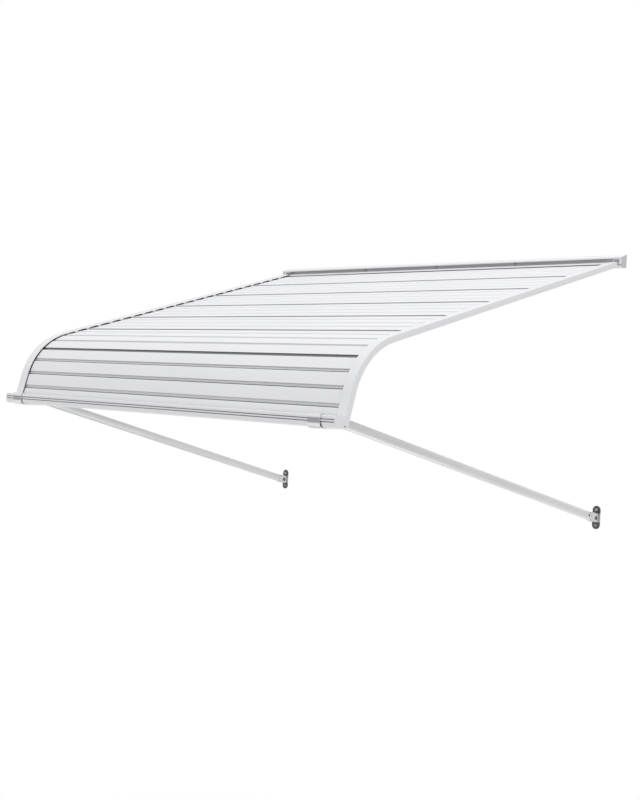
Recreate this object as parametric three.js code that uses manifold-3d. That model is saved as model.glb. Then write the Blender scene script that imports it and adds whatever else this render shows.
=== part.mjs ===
// Door awning: hooked aluminium slats held in two bent side rails, hinged to a wall rail and propped by two arms.
// Millimetres. X runs along the wall, Y points into the wall, whose face is y = 0, and Z is up.
// The origin lies on the header rail's wall face, midway along it.
import * as THREE from 'three';
import { mergeVertices } from 'three/addons/utils/BufferGeometryUtils.js';
import Module from 'manifold-3d';

const wasm = await Module();
wasm.setup();

// Whole awning
const totalWidth = 1372;
const clearance = 0.3; // between neighbours that have no flat face in common
const overlap = 1; // how far solids reach into each other before they are joined
const roundSides = 24; // facets around tubes, pins, screws and rounded edges
const bendSteps = 18; // facets along the bend of a side rail

// Header rail on the wall
const headerHeight = 39;
const headerDepth = 20;
const headerSheet = 2.5;
const headerLip = 4;
const headerTopFall = 9; // how far the sloping top falls from the wall to the lip
const headerCapThickness = 3;
const headerCapPlug = 30;
const headerCapBlock = 8; // closes the mouth beside the side rail
const headerOverhang = 13; // past the side rails, at each end
const headerScrewSpacing = 312;
const headerScrewHeight = 5;
const headerScrewCount = 3;

// Hinge between header rail and canopy
const hingeOut = 13.5; // axis, out from the wall
const hingeDrop = 10.5; // axis, below the origin
const beadRadius = 5;
const troughGap = 0.5;
const troughWall = 3;
const neckThickness = 3;
const hingeNose = 7; // width of the rib above the neck
const noseRise = 3.5; // its top, over the slats' faces
const noseChamfer = 1;
const troughTipAngle = 195; // degrees, where the trough's front wall ends

// Roof line, as it runs through the outer faces of the slats
const firstSeamOut = 40.2;
const firstSeamDrop = 11.9;
const roofSlope = 16.6; // degrees
const frontSlope = 75.4; // degrees
const bendRadius = 183;
const straightLength = 949.5; // from the first seam to the bend

// Slats
const slatCount = 28;
const slatPitch = 43.6;
const slatSheet = 1.3;
const seamWidth = 10; // recess between a slat's face and the next slat
const seamDepth = 3;
const tongueReach = 4.5; // how far a tongue runs under the next slat
const hookDepth = 1.2;
const hookGap = 0.5;
const pocketReach = 9;
const shelfReach = 1;
const shelfLip = 1;
const slatEndGap = 0.5;
const lastSlatTrim = 6.5; // cut off the last slat's tongue, hook and all

// Side rails
const railWeb = 2;
const railSheet = 1.5;
const railLipWidth = 31;
const railLipRise = 5.5; // top of the lip over the slats' faces
const railFloorWidth = 22;
const railFloorGap = 1.7;
const railHead = 12.5; // length above the first seam
const railTail = 1.5; // length below the last tongue

// Front bar
const barFront = 34; // front face, out from the end of the last slat
const barRise = 18; // top, above the end of the last slat
const barHeight = 28.5;
const barWall = 2;
const barTopRadius = 2;
const barBottomRadius = 9;
const barSillReach = 5;
const barGrooveDrops = [7.5, 13.5];
const barGrooveHeight = 2.4;
const barGrooveDepth = 1.2;
const barCapThickness = 3;
const barCapPlug = 10;
const railScrewInset = 20;
const railScrewDrop = 9;

// Arm clips on the bar
const clipInset = 66; // middle of a clip, in from the side of the awning
const clipWidth = 41;
const clipSheet = 3;
const clipHook = 10;
const clipPivotBack = 64; // behind the bar's front face
const clipPivotDrop = 11; // below the bar's top
const earRadius = 11;
const earThickness = 3;

// Arms
const tubeRadius = 12.7;
const tubeWall = 1.5;
const plugLength = 22;
const collarLength = 6;
const tangThickness = 13;
const tangGap = 0.5;
const tangLength = 20;
const forkRadius = 12.5;
const forkLength = 20;
const forkBridge = 4;
const cheekThickness = 6;

// Wall brackets
const bracketInset = 38.5; // middle of a bracket, in from the side of the awning
const bracketDrop = 730.5;
const bracketPivotOut = 18;
const plateWidth = 25.4;
const plateHeight = 67;
const plateThickness = 4;
const plateScrewSpacing = 43;
const lugThickness = 8;
const lugRadius = 10;

// Fasteners
const pinRadius = 3;
const pinHeadRadius = 6;
const pinHeadHeight = 3;
const screwRadius = 2.1;
const screwHeadRadius = 4.5;
const screwHeadHeight = 3;
const railScrewHeadHeight = 2;
const railScrewLength = 9;

// Materials
const whitePaint = { color: 0xf1f2f4, roughness: 0.4, metalness: 0.0 };
const armPaint = { color: 0xd9dadd, roughness: 0.35, metalness: 0.2 };
const bareMetal = { color: 0x8c8d90, roughness: 0.3, metalness: 0.9 };
const darkMetal = { color: 0x5a5b5e, roughness: 0.35, metalness: 0.9 };

const awning = new THREE.Group();

function addMesh(parent, name, geometry, look) {
  const mesh = new THREE.Mesh(geometry, new THREE.MeshStandardMaterial(look));
  mesh.name = name;
  parent.add(mesh);
  return mesh;
}

// Turns a closed geometry into a solid that can be joined and cut.
function solidOf(geometry) {
  const bare = geometry.clone();
  bare.deleteAttribute('normal');
  bare.deleteAttribute('uv');
  const merged = mergeVertices(bare, 1e-4);
  return new wasm.Manifold(new wasm.Mesh({
    numProp: 3,
    vertProperties: new Float32Array(merged.attributes.position.array),
    triVerts: new Uint32Array(merged.index.array),
  }));
}

function geometryOf(solid) {
  const mesh = solid.getMesh();
  const geometry = new THREE.BufferGeometry();
  geometry.setAttribute('position', new THREE.BufferAttribute(new Float32Array(mesh.vertProperties), 3));
  geometry.setIndex(new THREE.BufferAttribute(new Uint32Array(mesh.triVerts), 1));
  geometry.computeVertexNormals();
  return geometry;
}

function join(geometries) {
  return geometries.map(solidOf).reduce((whole, piece) => whole.add(piece));
}

function cut(solid, geometries) {
  return geometries.map(solidOf).reduce((rest, tool) => rest.subtract(tool), solid);
}

// Points of an arc in degrees, both ends included.
function arc(centre, radius, from, to) {
  const steps = Math.ceil(Math.abs(to - from) / 360 * roundSides);
  const points = [];
  for (let i = 0; i <= steps; i += 1) {
    const angle = THREE.MathUtils.degToRad(from + (to - from) * i / steps);
    points.push([centre[0] + radius * Math.cos(angle), centre[1] + radius * Math.sin(angle)]);
  }
  return points;
}

function shapeOf(points, holes = []) {
  const toVector = ([a, b]) => new THREE.Vector2(a, b);
  const shape = new THREE.Shape(points.map(toVector));
  shape.holes = holes.map((hole) => new THREE.Path(hole.map(toVector)));
  return shape;
}

// Extrudes an outline drawn in Y and Z along X, from one place to another.
function alongX(points, fromX, toX, holes = []) {
  const options = { depth: toX - fromX, bevelEnabled: false };
  const geometry = new THREE.ExtrudeGeometry(shapeOf(points, holes), options);
  const axes = new THREE.Matrix4().makeBasis(
    new THREE.Vector3(0, 1, 0),
    new THREE.Vector3(0, 0, 1),
    new THREE.Vector3(1, 0, 0),
  );
  return geometry.applyMatrix4(axes).translate(fromX, 0, 0);
}

// A round solid about the Z axis from its profile of [radius, z] points, which starts and ends on the axis.
function roundAboutZ(profile) {
  const points = profile.map(([radius, z]) => new THREE.Vector2(radius, z));
  return new THREE.LatheGeometry(points, roundSides).rotateX(Math.PI / 2);
}

function rodAboutZ(radius, fromZ, toZ) {
  return roundAboutZ([[0, fromZ], [radius, fromZ], [radius, toZ], [0, toZ]]);
}

function rodAboutX(radius, fromX, toX) {
  return rodAboutZ(radius, fromX, toX).rotateY(Math.PI / 2);
}

function rodAboutY(radius, fromY, toY) {
  return rodAboutZ(radius, -toY, -fromY).rotateX(Math.PI / 2);
}

// Screw about the Z axis: head below z = 0, shank above it, the head's rim rounded off by a chamfer.
function screwAboutZ(headHeight, length) {
  const chamfer = headHeight / 3;
  return roundAboutZ([
    [0, -headHeight],
    [screwHeadRadius - chamfer, -headHeight],
    [screwHeadRadius, chamfer - headHeight],
    [screwHeadRadius, 0],
    [screwRadius, 0],
    [screwRadius, length],
    [0, length],
  ]);
}

// Pivot pin about the X axis with a head at each end, for a stack of the given half width.
function pinAboutX(halfWidth) {
  const inner = halfWidth + clearance;
  const outer = inner + pinHeadHeight;
  const chamfer = pinHeadHeight / 3;
  const half = [
    [pinRadius, inner],
    [pinHeadRadius, inner],
    [pinHeadRadius, outer - chamfer],
    [pinHeadRadius - chamfer, outer],
    [0, outer],
  ];
  const mirrored = half.map(([radius, z]) => [radius, -z]).reverse();
  return roundAboutZ([...mirrored, ...half]).rotateY(Math.PI / 2);
}

// Roof line: s runs from the first seam down the slats, v is the height over the slats' faces.
const roofTilt = THREE.MathUtils.degToRad(roofSlope);
const frontTilt = THREE.MathUtils.degToRad(frontSlope);
const bendLength = bendRadius * (frontTilt - roofTilt);

function roofAngle(s) {
  const turned = THREE.MathUtils.clamp((s - straightLength) / bendRadius, 0, frontTilt - roofTilt);
  return roofTilt + turned;
}

function roofPoint(s, v = 0) {
  const angle = roofAngle(s);
  const before = Math.min(s, straightLength);
  const after = Math.max(s - straightLength - bendLength, 0);
  const bentOut = bendRadius * (Math.sin(angle) - Math.sin(roofTilt));
  const bentDown = bendRadius * (Math.cos(roofTilt) - Math.cos(angle));
  const out = firstSeamOut + before * Math.cos(roofTilt) + bentOut + after * Math.cos(frontTilt);
  const down = firstSeamDrop + before * Math.sin(roofTilt) + bentDown + after * Math.sin(frontTilt);
  return [-out - v * Math.sin(angle), -down + v * Math.cos(angle)];
}

// Header rail: back plate, sloping top with a lip, and the trough that carries the hinge bead.
const troughRadius = beadRadius + troughGap;
const troughOuter = troughRadius + troughWall;
const hingeAxis = [-hingeOut, -hingeDrop];
const headerBottom = -hingeDrop - troughOuter;
const headerTop = headerBottom + headerHeight;
const headerLipTop = headerTop - headerTopFall;
const headerLipBottom = headerLipTop - headerLip;
const headerHalfLength = totalWidth / 2 + headerOverhang - headerCapThickness;

function headerOutline() {
  const tip = troughTipAngle - 360;
  return [
    [0, headerTop],
    [-headerDepth, headerLipTop],
    [-headerDepth, headerLipBottom],
    [headerSheet - headerDepth, headerLipBottom],
    [headerSheet - headerDepth, headerLipTop - headerSheet],
    [-headerSheet, headerTop - headerSheet - headerTopFall * headerSheet / headerDepth],
    [-headerSheet, -hingeDrop],
    ...arc(hingeAxis, troughRadius, 0, tip),
    ...arc(hingeAxis, troughOuter, tip, -90),
    [0, headerBottom],
  ];
}

function headerScrewPlaces() {
  const first = -headerScrewSpacing * (headerScrewCount - 1) / 2;
  return Array.from({ length: headerScrewCount }, (_, i) => first + i * headerScrewSpacing);
}

function buildHeader() {
  const rail = solidOf(alongX(headerOutline(), -headerHalfLength, headerHalfLength));
  const holes = headerScrewPlaces().map((x) => (
    rodAboutY(screwRadius + clearance, -2 * headerSheet, headerSheet).translate(x, 0, headerScrewHeight)
  ));
  addMesh(awning, 'header_rail', geometryOf(cut(rail, holes)), whitePaint);

  headerScrewPlaces().forEach((x, i) => {
    const screw = screwAboutZ(screwHeadHeight, headerSheet).rotateX(-Math.PI / 2);
    const mesh = addMesh(awning, `header_screw_${i + 1}`, screw, bareMetal);
    mesh.position.set(x, -headerSheet, headerScrewHeight);
  });

  const plugFront = headerSheet + clearance - headerDepth;
  const plugTop = headerLipTop - headerSheet - clearance;
  const plugBottom = headerLipBottom - headerLip;
  const blockBottom = beadRadius + overlap - hingeDrop;
  const mouthDownTo = (bottom) => [
    [-headerSheet - clearance, bottom],
    [-headerSheet - clearance, plugTop],
    [plugFront, plugTop],
    [plugFront, bottom],
  ];
  const plate = [
    [0, headerTop],
    [-headerDepth, headerLipTop],
    ...arc(hingeAxis, troughOuter, 180, 270),
    [0, headerBottom],
  ];
  for (const [side, name] of [[-1, 'left'], [1, 'right']]) {
    const outer = side * (headerHalfLength + headerCapThickness);
    const seat = side * headerHalfLength;
    const inner = side * (headerHalfLength - headerCapPlug);
    const blockInner = side * (headerHalfLength - headerCapBlock);
    const cap = join([
      alongX(plate, Math.min(seat, outer), Math.max(seat, outer)),
      alongX(mouthDownTo(plugBottom), Math.min(inner, outer), Math.max(inner, outer)),
      alongX(mouthDownTo(blockBottom), Math.min(blockInner, outer), Math.max(blockInner, outer)),
    ]);
    addMesh(awning, `header_cap_${name}`, geometryOf(cap), whitePaint);
  }
}

// Slats: a face, a recessed tongue at its lower edge and a pocket under its upper edge.
const slatHalfLength = totalWidth / 2 - railWeb - slatEndGap;
const faceLength = slatPitch - seamWidth;
const tongueBottom = -seamDepth - slatSheet;
const hookBottom = tongueBottom - hookDepth;
const shelfTop = hookBottom - hookGap;
const slatBottom = shelfTop - slatSheet;

// The tongue's outline past a face that ends at the given place, from its underside round to its top.
function tongueOutline(faceEnd) {
  const tip = faceEnd + seamWidth + tongueReach;
  return [
    [tip - slatSheet, tongueBottom],
    [tip - slatSheet, hookBottom],
    [tip, hookBottom],
    [tip, -seamDepth],
    [faceEnd, -seamDepth],
  ];
}

// The last slat's tongue is cut short and has no hook.
function trimmedTongue(faceEnd) {
  const tip = faceEnd + seamWidth + tongueReach - lastSlatTrim;
  return [
    [tip, tongueBottom],
    [tip, -seamDepth],
    [faceEnd, -seamDepth],
  ];
}

function slatOutline(tongue) {
  return [
    [0, 0],
    [0, -slatSheet],
    [pocketReach, -slatSheet],
    [pocketReach, shelfTop],
    [slatSheet - shelfReach, shelfTop],
    [slatSheet - shelfReach, shelfTop + shelfLip],
    [-shelfReach, shelfTop + shelfLip],
    [-shelfReach, slatBottom],
    [pocketReach + slatSheet, slatBottom],
    [pocketReach + slatSheet, -slatSheet],
    [faceLength - slatSheet, -slatSheet],
    [faceLength - slatSheet, tongueBottom],
    ...tongue,
    [faceLength, 0],
  ];
}

// Down the roof is minus Y in a piece's own axes.
function downRoof(points) {
  return points.map(([u, v]) => [-u, v]);
}

function buildSlats() {
  const slatWith = (tongue) => alongX(downRoof(slatOutline(tongue)), -slatHalfLength, slatHalfLength);
  const slat = slatWith(tongueOutline(faceLength));
  const lastSlat = slatWith(trimmedTongue(faceLength));
  for (let i = 0; i < slatCount; i += 1) {
    const upper = roofPoint(i * slatPitch);
    const lower = roofPoint((i + 1) * slatPitch);
    const number = String(i + 1).padStart(2, '0');
    const geometry = i === slatCount - 1 ? lastSlat : slat;
    const mesh = addMesh(awning, `slat_${number}`, geometry, whitePaint);
    mesh.position.set(0, upper[0], upper[1]);
    mesh.rotation.x = Math.atan2(upper[1] - lower[1], upper[0] - lower[0]);
  }
}

// Hinge rail: the bead in the header's trough, its neck, and a tongue like a slat's for the first slat.
function buildHingeRail() {
  const [seamY, seamZ] = roofPoint(0);
  const offY = hingeAxis[0] - seamY;
  const offZ = hingeAxis[1] - seamZ;
  const bead = [
    -offY * Math.cos(roofTilt) - offZ * Math.sin(roofTilt),
    -offY * Math.sin(roofTilt) + offZ * Math.cos(roofTilt),
  ];
  const faceEnd = -seamWidth;
  const neckEnd = [faceEnd - slatSheet, 0];
  const neckAngle = THREE.MathUtils.radToDeg(Math.atan2(neckEnd[1] - bead[1], neckEnd[0] - bead[0]));
  const neckHalf = THREE.MathUtils.radToDeg(Math.asin(neckThickness / 2 / beadRadius));
  const stiffener = faceEnd / 2;
  const outline = [
    [faceEnd, noseRise],
    [faceEnd - hingeNose + noseChamfer, noseRise],
    [faceEnd - hingeNose, noseRise - noseChamfer],
    ...arc(bead, beadRadius, neckAngle + neckHalf, neckAngle - neckHalf + 360),
    [faceEnd - slatSheet, tongueBottom],
    [stiffener - slatSheet, tongueBottom],
    [stiffener - slatSheet, slatBottom],
    [stiffener, slatBottom],
    [stiffener, tongueBottom],
    ...tongueOutline(faceEnd),
  ];
  const rail = alongX(downRoof(outline), -slatHalfLength, slatHalfLength);
  const mesh = addMesh(awning, 'hinge_rail', rail, whitePaint);
  mesh.position.set(0, seamY, seamZ);
  mesh.rotation.x = roofTilt;
}

// Side rails: a web, a lip over the slats and a floor under them, bent along the roof line.
const roofEnd = slatCount * slatPitch - lastSlatTrim;
const railEnd = roofEnd + tongueReach + railTail;
const railFloorTop = slatBottom - railFloorGap;
const railFloorBottom = railFloorTop - railSheet;
const railScrewX = totalWidth / 2 - railScrewInset;
const endTilt = roofAngle(roofEnd);

function railStations() {
  const stations = [-railHead];
  for (let i = 0; i <= bendSteps; i += 1) {
    stations.push(straightLength + bendLength * i / bendSteps);
  }
  return [...stations.filter((s) => s < railEnd), railEnd];
}

function railStrip(low, high, fromX, toX) {
  const stations = railStations();
  const upper = stations.map((s) => roofPoint(s, high));
  const lower = stations.map((s) => roofPoint(s, low)).reverse();
  return alongX([...upper, ...lower], fromX, toX);
}

// Places a piece made about Z so that Z is square to the end of the roof line, at the rail screw.
function atRailScrew(geometry, side, height) {
  const [y, z] = roofPoint(roofEnd - railScrewDrop, height);
  return geometry.rotateX(endTilt).translate(side * railScrewX, y, z);
}

function railScrewHole(side) {
  return atRailScrew(rodAboutZ(screwRadius + clearance, -railScrewLength, railScrewLength), side, railLipRise);
}

function buildSideRails() {
  const lipBottom = railLipRise - railSheet;
  for (const [side, name] of [[-1, 'left'], [1, 'right']]) {
    const span = (width) => {
      const edges = [side * totalWidth / 2, side * (totalWidth / 2 - width)];
      return [Math.min(...edges), Math.max(...edges)];
    };
    const rail = join([
      railStrip(railFloorBottom, railLipRise, ...span(railWeb)),
      railStrip(lipBottom, railLipRise, ...span(railLipWidth)),
      railStrip(railFloorBottom, railFloorTop, ...span(railFloorWidth)),
    ]);
    addMesh(awning, `side_rail_${name}`, geometryOf(cut(rail, [railScrewHole(side)])), whitePaint);

    const screw = atRailScrew(screwAboutZ(railScrewHeadHeight, railScrewLength), side, lipBottom - clearance);
    addMesh(awning, `rail_screw_${name}`, screw, bareMetal);
  }
}

// Front bar: a hollow extrusion against the rails' lips, with a sill under their ends.
const [endY, endZ] = roofPoint(roofEnd);
const barFrontY = endY - barFront;
const barTopZ = endZ + barRise;
const barBottomZ = barTopZ - barHeight;
const barHalfLength = totalWidth / 2 - barCapThickness;

// A place given along and over the end of the roof line.
function endPoint(u, v) {
  return [
    endY - u * Math.cos(endTilt) - v * Math.sin(endTilt),
    endZ - u * Math.sin(endTilt) + v * Math.cos(endTilt),
  ];
}

// Where the line at height v over the end of the roof line meets a level.
function endLineAt(z, v) {
  const u = (endZ + v * Math.cos(endTilt) - z) / Math.sin(endTilt);
  return endPoint(u, v);
}

function barGroove(drop) {
  const top = barTopZ - drop;
  return [
    [barFrontY, top],
    [barFrontY + barGrooveDepth, top],
    [barFrontY + barGrooveDepth, top - barGrooveHeight],
    [barFrontY, top - barGrooveHeight],
  ];
}

function barOutline(grooves) {
  const seat = railLipRise + clearance;
  const sillTop = tongueReach + railTail + clearance;
  const sillBack = endPoint(sillTop, -barSillReach);
  const topCorner = [barFrontY + barTopRadius, barTopZ - barTopRadius];
  const bottomCorner = [barFrontY + barBottomRadius, barBottomZ + barBottomRadius];
  return [
    ...arc(topCorner, barTopRadius, 90, 180),
    ...grooves.flatMap(barGroove),
    ...arc(bottomCorner, barBottomRadius, 180, 270),
    [sillBack[0], barBottomZ],
    sillBack,
    endPoint(sillTop, seat),
    endLineAt(barTopZ, seat),
  ];
}

function barHollow(inset) {
  const seat = railLipRise + clearance + inset;
  const bottomCorner = [barFrontY + barBottomRadius, barBottomZ + barBottomRadius];
  return [
    [barFrontY + inset, barTopZ - inset],
    ...arc(bottomCorner, barBottomRadius - inset, 180, 270),
    endLineAt(barBottomZ + inset, seat),
    endLineAt(barTopZ - inset, seat),
  ];
}

function buildFrontBar() {
  const outline = barOutline(barGrooveDrops);
  const bar = solidOf(alongX(outline, -barHalfLength, barHalfLength, [barHollow(barWall)]));
  const holes = [-1, 1].map(railScrewHole);
  addMesh(awning, 'front_bar', geometryOf(cut(bar, holes)), whitePaint);

  for (const [side, name] of [[-1, 'left'], [1, 'right']]) {
    const outer = side * (barHalfLength + barCapThickness);
    const seat = side * barHalfLength;
    const inner = side * (barHalfLength - barCapPlug);
    const cap = join([
      alongX(barOutline([]), Math.min(seat, outer), Math.max(seat, outer)),
      alongX(barHollow(barWall + clearance), Math.min(inner, outer), Math.max(inner, outer)),
    ]);
    addMesh(awning, `bar_cap_${name}`, geometryOf(cap), whitePaint);
  }
}

// Arm clips: a strap hooked over the bar's top, wrapped round its front and underside, with two ears behind.
const clipCentre = totalWidth / 2 - clipInset;
const clipPivot = [barFrontY + clipPivotBack, barTopZ - clipPivotDrop];
const earInner = tangThickness / 2 + tangGap;

function clipStrap() {
  const inner = clearance;
  const outer = clearance + clipSheet;
  const bend = [barFrontY + barBottomRadius, barBottomZ + barBottomRadius];
  const back = clipPivot[0] + earRadius;
  return [
    [barFrontY + clipHook, barTopZ + outer],
    [barFrontY - inner, barTopZ + outer],
    [barFrontY - outer, barTopZ + inner],
    ...arc(bend, barBottomRadius + outer, 180, 270),
    [back, barBottomZ - outer],
    [back, barBottomZ - inner],
    ...arc(bend, barBottomRadius + inner, 270, 180),
    [barFrontY - inner, barTopZ + inner],
    [barFrontY + clipHook, barTopZ + inner],
  ];
}

function earOutline() {
  const foot = barBottomZ - clearance - clipSheet;
  return [
    [clipPivot[0] - earRadius, foot],
    [clipPivot[0] + earRadius, foot],
    ...arc(clipPivot, earRadius, 0, 180),
  ];
}

function buildClips() {
  const earOuter = earInner + earThickness;
  for (const [side, name] of [[-1, 'left'], [1, 'right']]) {
    const middle = side * clipCentre;
    const clip = join([
      alongX(clipStrap(), middle - clipWidth / 2, middle + clipWidth / 2),
      alongX(earOutline(), middle - earOuter, middle - earInner),
      alongX(earOutline(), middle + earInner, middle + earOuter),
    ]);
    const hole = rodAboutX(pinRadius + clearance, middle - clipWidth, middle + clipWidth);
    hole.translate(0, clipPivot[0], clipPivot[1]);
    addMesh(awning, `arm_clip_${name}`, geometryOf(cut(clip, [hole])), bareMetal);

    const pin = addMesh(awning, `clip_pin_${name}`, pinAboutX(earOuter), bareMetal);
    pin.position.set(middle, clipPivot[0], clipPivot[1]);
  }
}

// Wall brackets: a stadium plate with a lug for the arm's fork.
const bracketCentre = totalWidth / 2 - bracketInset;

function buildBrackets() {
  const half = plateWidth / 2;
  const straight = plateHeight / 2 - half;
  const stadium = [
    ...arc([0, straight], half, 0, 180),
    ...arc([0, -straight], half, 180, 360),
  ];
  const lug = [
    [-plateThickness / 2, lugRadius],
    ...arc([-bracketPivotOut, 0], lugRadius, 90, 270),
    [-plateThickness / 2, -lugRadius],
  ];
  const screwPlaces = [['upper', plateScrewSpacing / 2], ['lower', -plateScrewSpacing / 2]];
  for (const [side, name] of [[-1, 'left'], [1, 'right']]) {
    const group = new THREE.Group();
    group.position.set(side * bracketCentre, 0, -bracketDrop);
    awning.add(group);

    const plateOptions = { depth: plateThickness, bevelEnabled: false };
    const plate = new THREE.ExtrudeGeometry(shapeOf(stadium), plateOptions).rotateX(Math.PI / 2);
    const body = join([plate, alongX(lug, -lugThickness / 2, lugThickness / 2)]);
    const pinHole = rodAboutX(pinRadius + clearance, -lugThickness, lugThickness);
    const screwHoles = screwPlaces.map(([, z]) => (
      rodAboutY(screwRadius + clearance, -2 * plateThickness, plateThickness).translate(0, 0, z)
    ));
    const holes = [pinHole.translate(0, -bracketPivotOut, 0), ...screwHoles];
    addMesh(group, `wall_bracket_${name}`, geometryOf(cut(body, holes)), darkMetal);

    for (const [place, z] of screwPlaces) {
      const screw = screwAboutZ(screwHeadHeight, plateThickness).rotateX(-Math.PI / 2);
      const mesh = addMesh(group, `bracket_screw_${name}_${place}`, screw, bareMetal);
      mesh.position.set(0, -plateThickness, z);
    }
  }
}

// Arms: a tube with a fork at the wall and an eye at the bar, drawn up Z from the lower pivot.
function buildArms() {
  const lowerPivot = [-bracketPivotOut, -bracketDrop];
  const runY = clipPivot[0] - lowerPivot[0];
  const runZ = clipPivot[1] - lowerPivot[1];
  const length = Math.hypot(runY, runZ);
  const cheekOuter = lugThickness / 2 + clearance + cheekThickness;
  const cheekInner = lugThickness / 2 + clearance;
  const plugRadius = tubeRadius - tubeWall - clearance;

  for (const [side, name] of [[-1, 'left'], [1, 'right']]) {
    const shift = side * (clipCentre - bracketCentre);
    const splay = Math.atan2(shift, length);
    const slant = Math.hypot(shift, length);
    const onAxis = (geometry) => geometry.rotateY(splay);
    const group = new THREE.Group();
    group.position.set(side * bracketCentre, lowerPivot[0], lowerPivot[1]);
    group.rotation.x = Math.atan2(-runY, runZ);
    awning.add(group);

    const tubeFrom = forkLength + collarLength + clearance;
    const tubeTo = slant - tangLength - collarLength - clearance;
    const tube = roundAboutZ([
      [tubeRadius - tubeWall, tubeFrom],
      [tubeRadius, tubeFrom],
      [tubeRadius, tubeTo],
      [tubeRadius - tubeWall, tubeTo],
      [tubeRadius - tubeWall, tubeFrom],
    ]);
    addMesh(group, `arm_tube_${name}`, onAxis(tube), armPaint);

    const cheeks = [
      ...arc([0, 0], forkRadius, 180, 360),
      [forkRadius, forkLength + overlap],
      [-forkRadius, forkLength + overlap],
    ];
    const fork = join([
      alongX(cheeks, -cheekOuter, cheekOuter),
      onAxis(rodAboutZ(tubeRadius, forkLength, forkLength + collarLength)),
      onAxis(rodAboutZ(plugRadius, forkLength, forkLength + collarLength + plugLength)),
    ]);
    const slotDepth = forkLength - forkBridge;
    const slot = [
      [-tubeRadius, -tubeRadius],
      [tubeRadius, -tubeRadius],
      [tubeRadius, slotDepth],
      [-tubeRadius, slotDepth],
    ];
    const forkCuts = [
      alongX(slot, -cheekInner, cheekInner),
      rodAboutX(pinRadius + clearance, -2 * cheekOuter, 2 * cheekOuter),
    ];
    addMesh(group, `arm_fork_${name}`, geometryOf(cut(fork, forkCuts)), armPaint);
    addMesh(group, `bracket_pin_${name}`, pinAboutX(cheekOuter), bareMetal);

    const tang = [
      ...arc([0, length], earRadius, 0, 180),
      [-earRadius, length - tangLength - overlap],
      [earRadius, length - tangLength - overlap],
    ];
    const collarTop = slant - tangLength;
    const eye = join([
      alongX(tang, shift - tangThickness / 2, shift + tangThickness / 2),
      onAxis(rodAboutZ(tubeRadius, collarTop - collarLength, collarTop)),
      onAxis(rodAboutZ(plugRadius, collarTop - collarLength - plugLength, collarTop)),
    ]);
    const eyeHole = rodAboutX(pinRadius + clearance, shift - clipWidth, shift + clipWidth).translate(0, 0, length);
    addMesh(group, `arm_eye_${name}`, geometryOf(cut(eye, [eyeHole])), armPaint);
  }
}

buildHeader();
buildHingeRail();
buildSlats();
buildSideRails();
buildFrontBar();
buildClips();
buildBrackets();
buildArms();

export default awning;
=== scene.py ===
import bmesh
import bpy
import numpy as np
from mathutils import Matrix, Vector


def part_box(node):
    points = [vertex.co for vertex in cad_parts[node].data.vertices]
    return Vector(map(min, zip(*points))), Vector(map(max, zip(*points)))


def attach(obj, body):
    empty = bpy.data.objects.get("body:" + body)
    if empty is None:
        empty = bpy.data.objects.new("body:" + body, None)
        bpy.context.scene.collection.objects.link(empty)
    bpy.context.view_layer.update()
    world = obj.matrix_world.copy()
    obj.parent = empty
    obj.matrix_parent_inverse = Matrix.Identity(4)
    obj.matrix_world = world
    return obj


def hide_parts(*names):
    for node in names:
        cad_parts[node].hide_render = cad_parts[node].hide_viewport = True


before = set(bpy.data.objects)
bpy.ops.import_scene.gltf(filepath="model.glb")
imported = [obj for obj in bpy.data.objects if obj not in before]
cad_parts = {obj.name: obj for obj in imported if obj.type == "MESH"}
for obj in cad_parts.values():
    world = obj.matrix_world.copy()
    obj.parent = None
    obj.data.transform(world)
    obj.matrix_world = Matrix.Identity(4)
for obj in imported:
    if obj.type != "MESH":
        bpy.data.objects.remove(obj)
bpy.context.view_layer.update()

# Sizes of the pieces are in millimetres, and add_piece turns them into metres.
MM = 0.001


def node_box(node):
    """Lowest and highest corner of a solid, in millimetres."""
    return np.array([list(corner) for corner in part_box(node)]) / MM


def node_middle(node):
    """Middle of a solid's box, in millimetres."""
    return node_box(node).mean(0)


SIDES = ((-1, "left"), (1, "right"))
CLEARANCE = 0.3
OVERLAP = 1.0
SECTION_STEP = 2.0

# Roof line, as it runs through the outer faces of the slats
FIRST_SEAM_OUT = 40.2
FIRST_SEAM_DROP = 11.9
ROOF_TILT = np.radians(16.6)
FRONT_TILT = np.radians(75.4)
BEND_RADIUS = 183.0
STRAIGHT_LENGTH = 949.5
BEND_LENGTH = BEND_RADIUS * (FRONT_TILT - ROOF_TILT)

# Slats
SLAT_COUNT = 28
ROOF_SLATS = 22
SLAT_PITCH = 43.6
SLAT_SHEET = 1.3
SLAT_EASE = 0.5
SLAT_CROWN = 0.4
SHEET_TOLERANCE = 0.1
SEAM_WIDTH = 10.0
SEAM_DEPTH = 3.0
TONGUE_REACH = 4.5
HOOK_DEPTH = 1.2
HOOK_GAP = 0.5
POCKET_REACH = 9.0
SHELF_REACH = 1.0
SHELF_LIP = 1.0
LAST_SLAT_TRIM = 6.5
FACE_LENGTH = SLAT_PITCH - SEAM_WIDTH
ROOF_END = SLAT_COUNT * SLAT_PITCH - LAST_SLAT_TRIM
SLAT_HALF_LENGTH = node_box("slat_01")[1][0]
TONGUE_BOTTOM = -SEAM_DEPTH - SLAT_SHEET
HOOK_BOTTOM = TONGUE_BOTTOM - HOOK_DEPTH
SHELF_TOP = HOOK_BOTTOM - HOOK_GAP
SLAT_BOTTOM = SHELF_TOP - SLAT_SHEET

# Every fourth seam is a joint between panels, which stands open. At the others the roof's slats lap a little.
PANEL_SLATS = 4
JOINT_DROP = 0.8
FIRST_DROP = 3.2
JOINT_SINK = 1.0
JOINT_EDGE = 0.5
LAP_RISE = 0.8
LAP_FALL = 0.5
EDGE_EASE = 12.0
FRONT_EDGE_DROP = 1.0
FRONT_EDGE_EASE = 3.0

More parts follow.
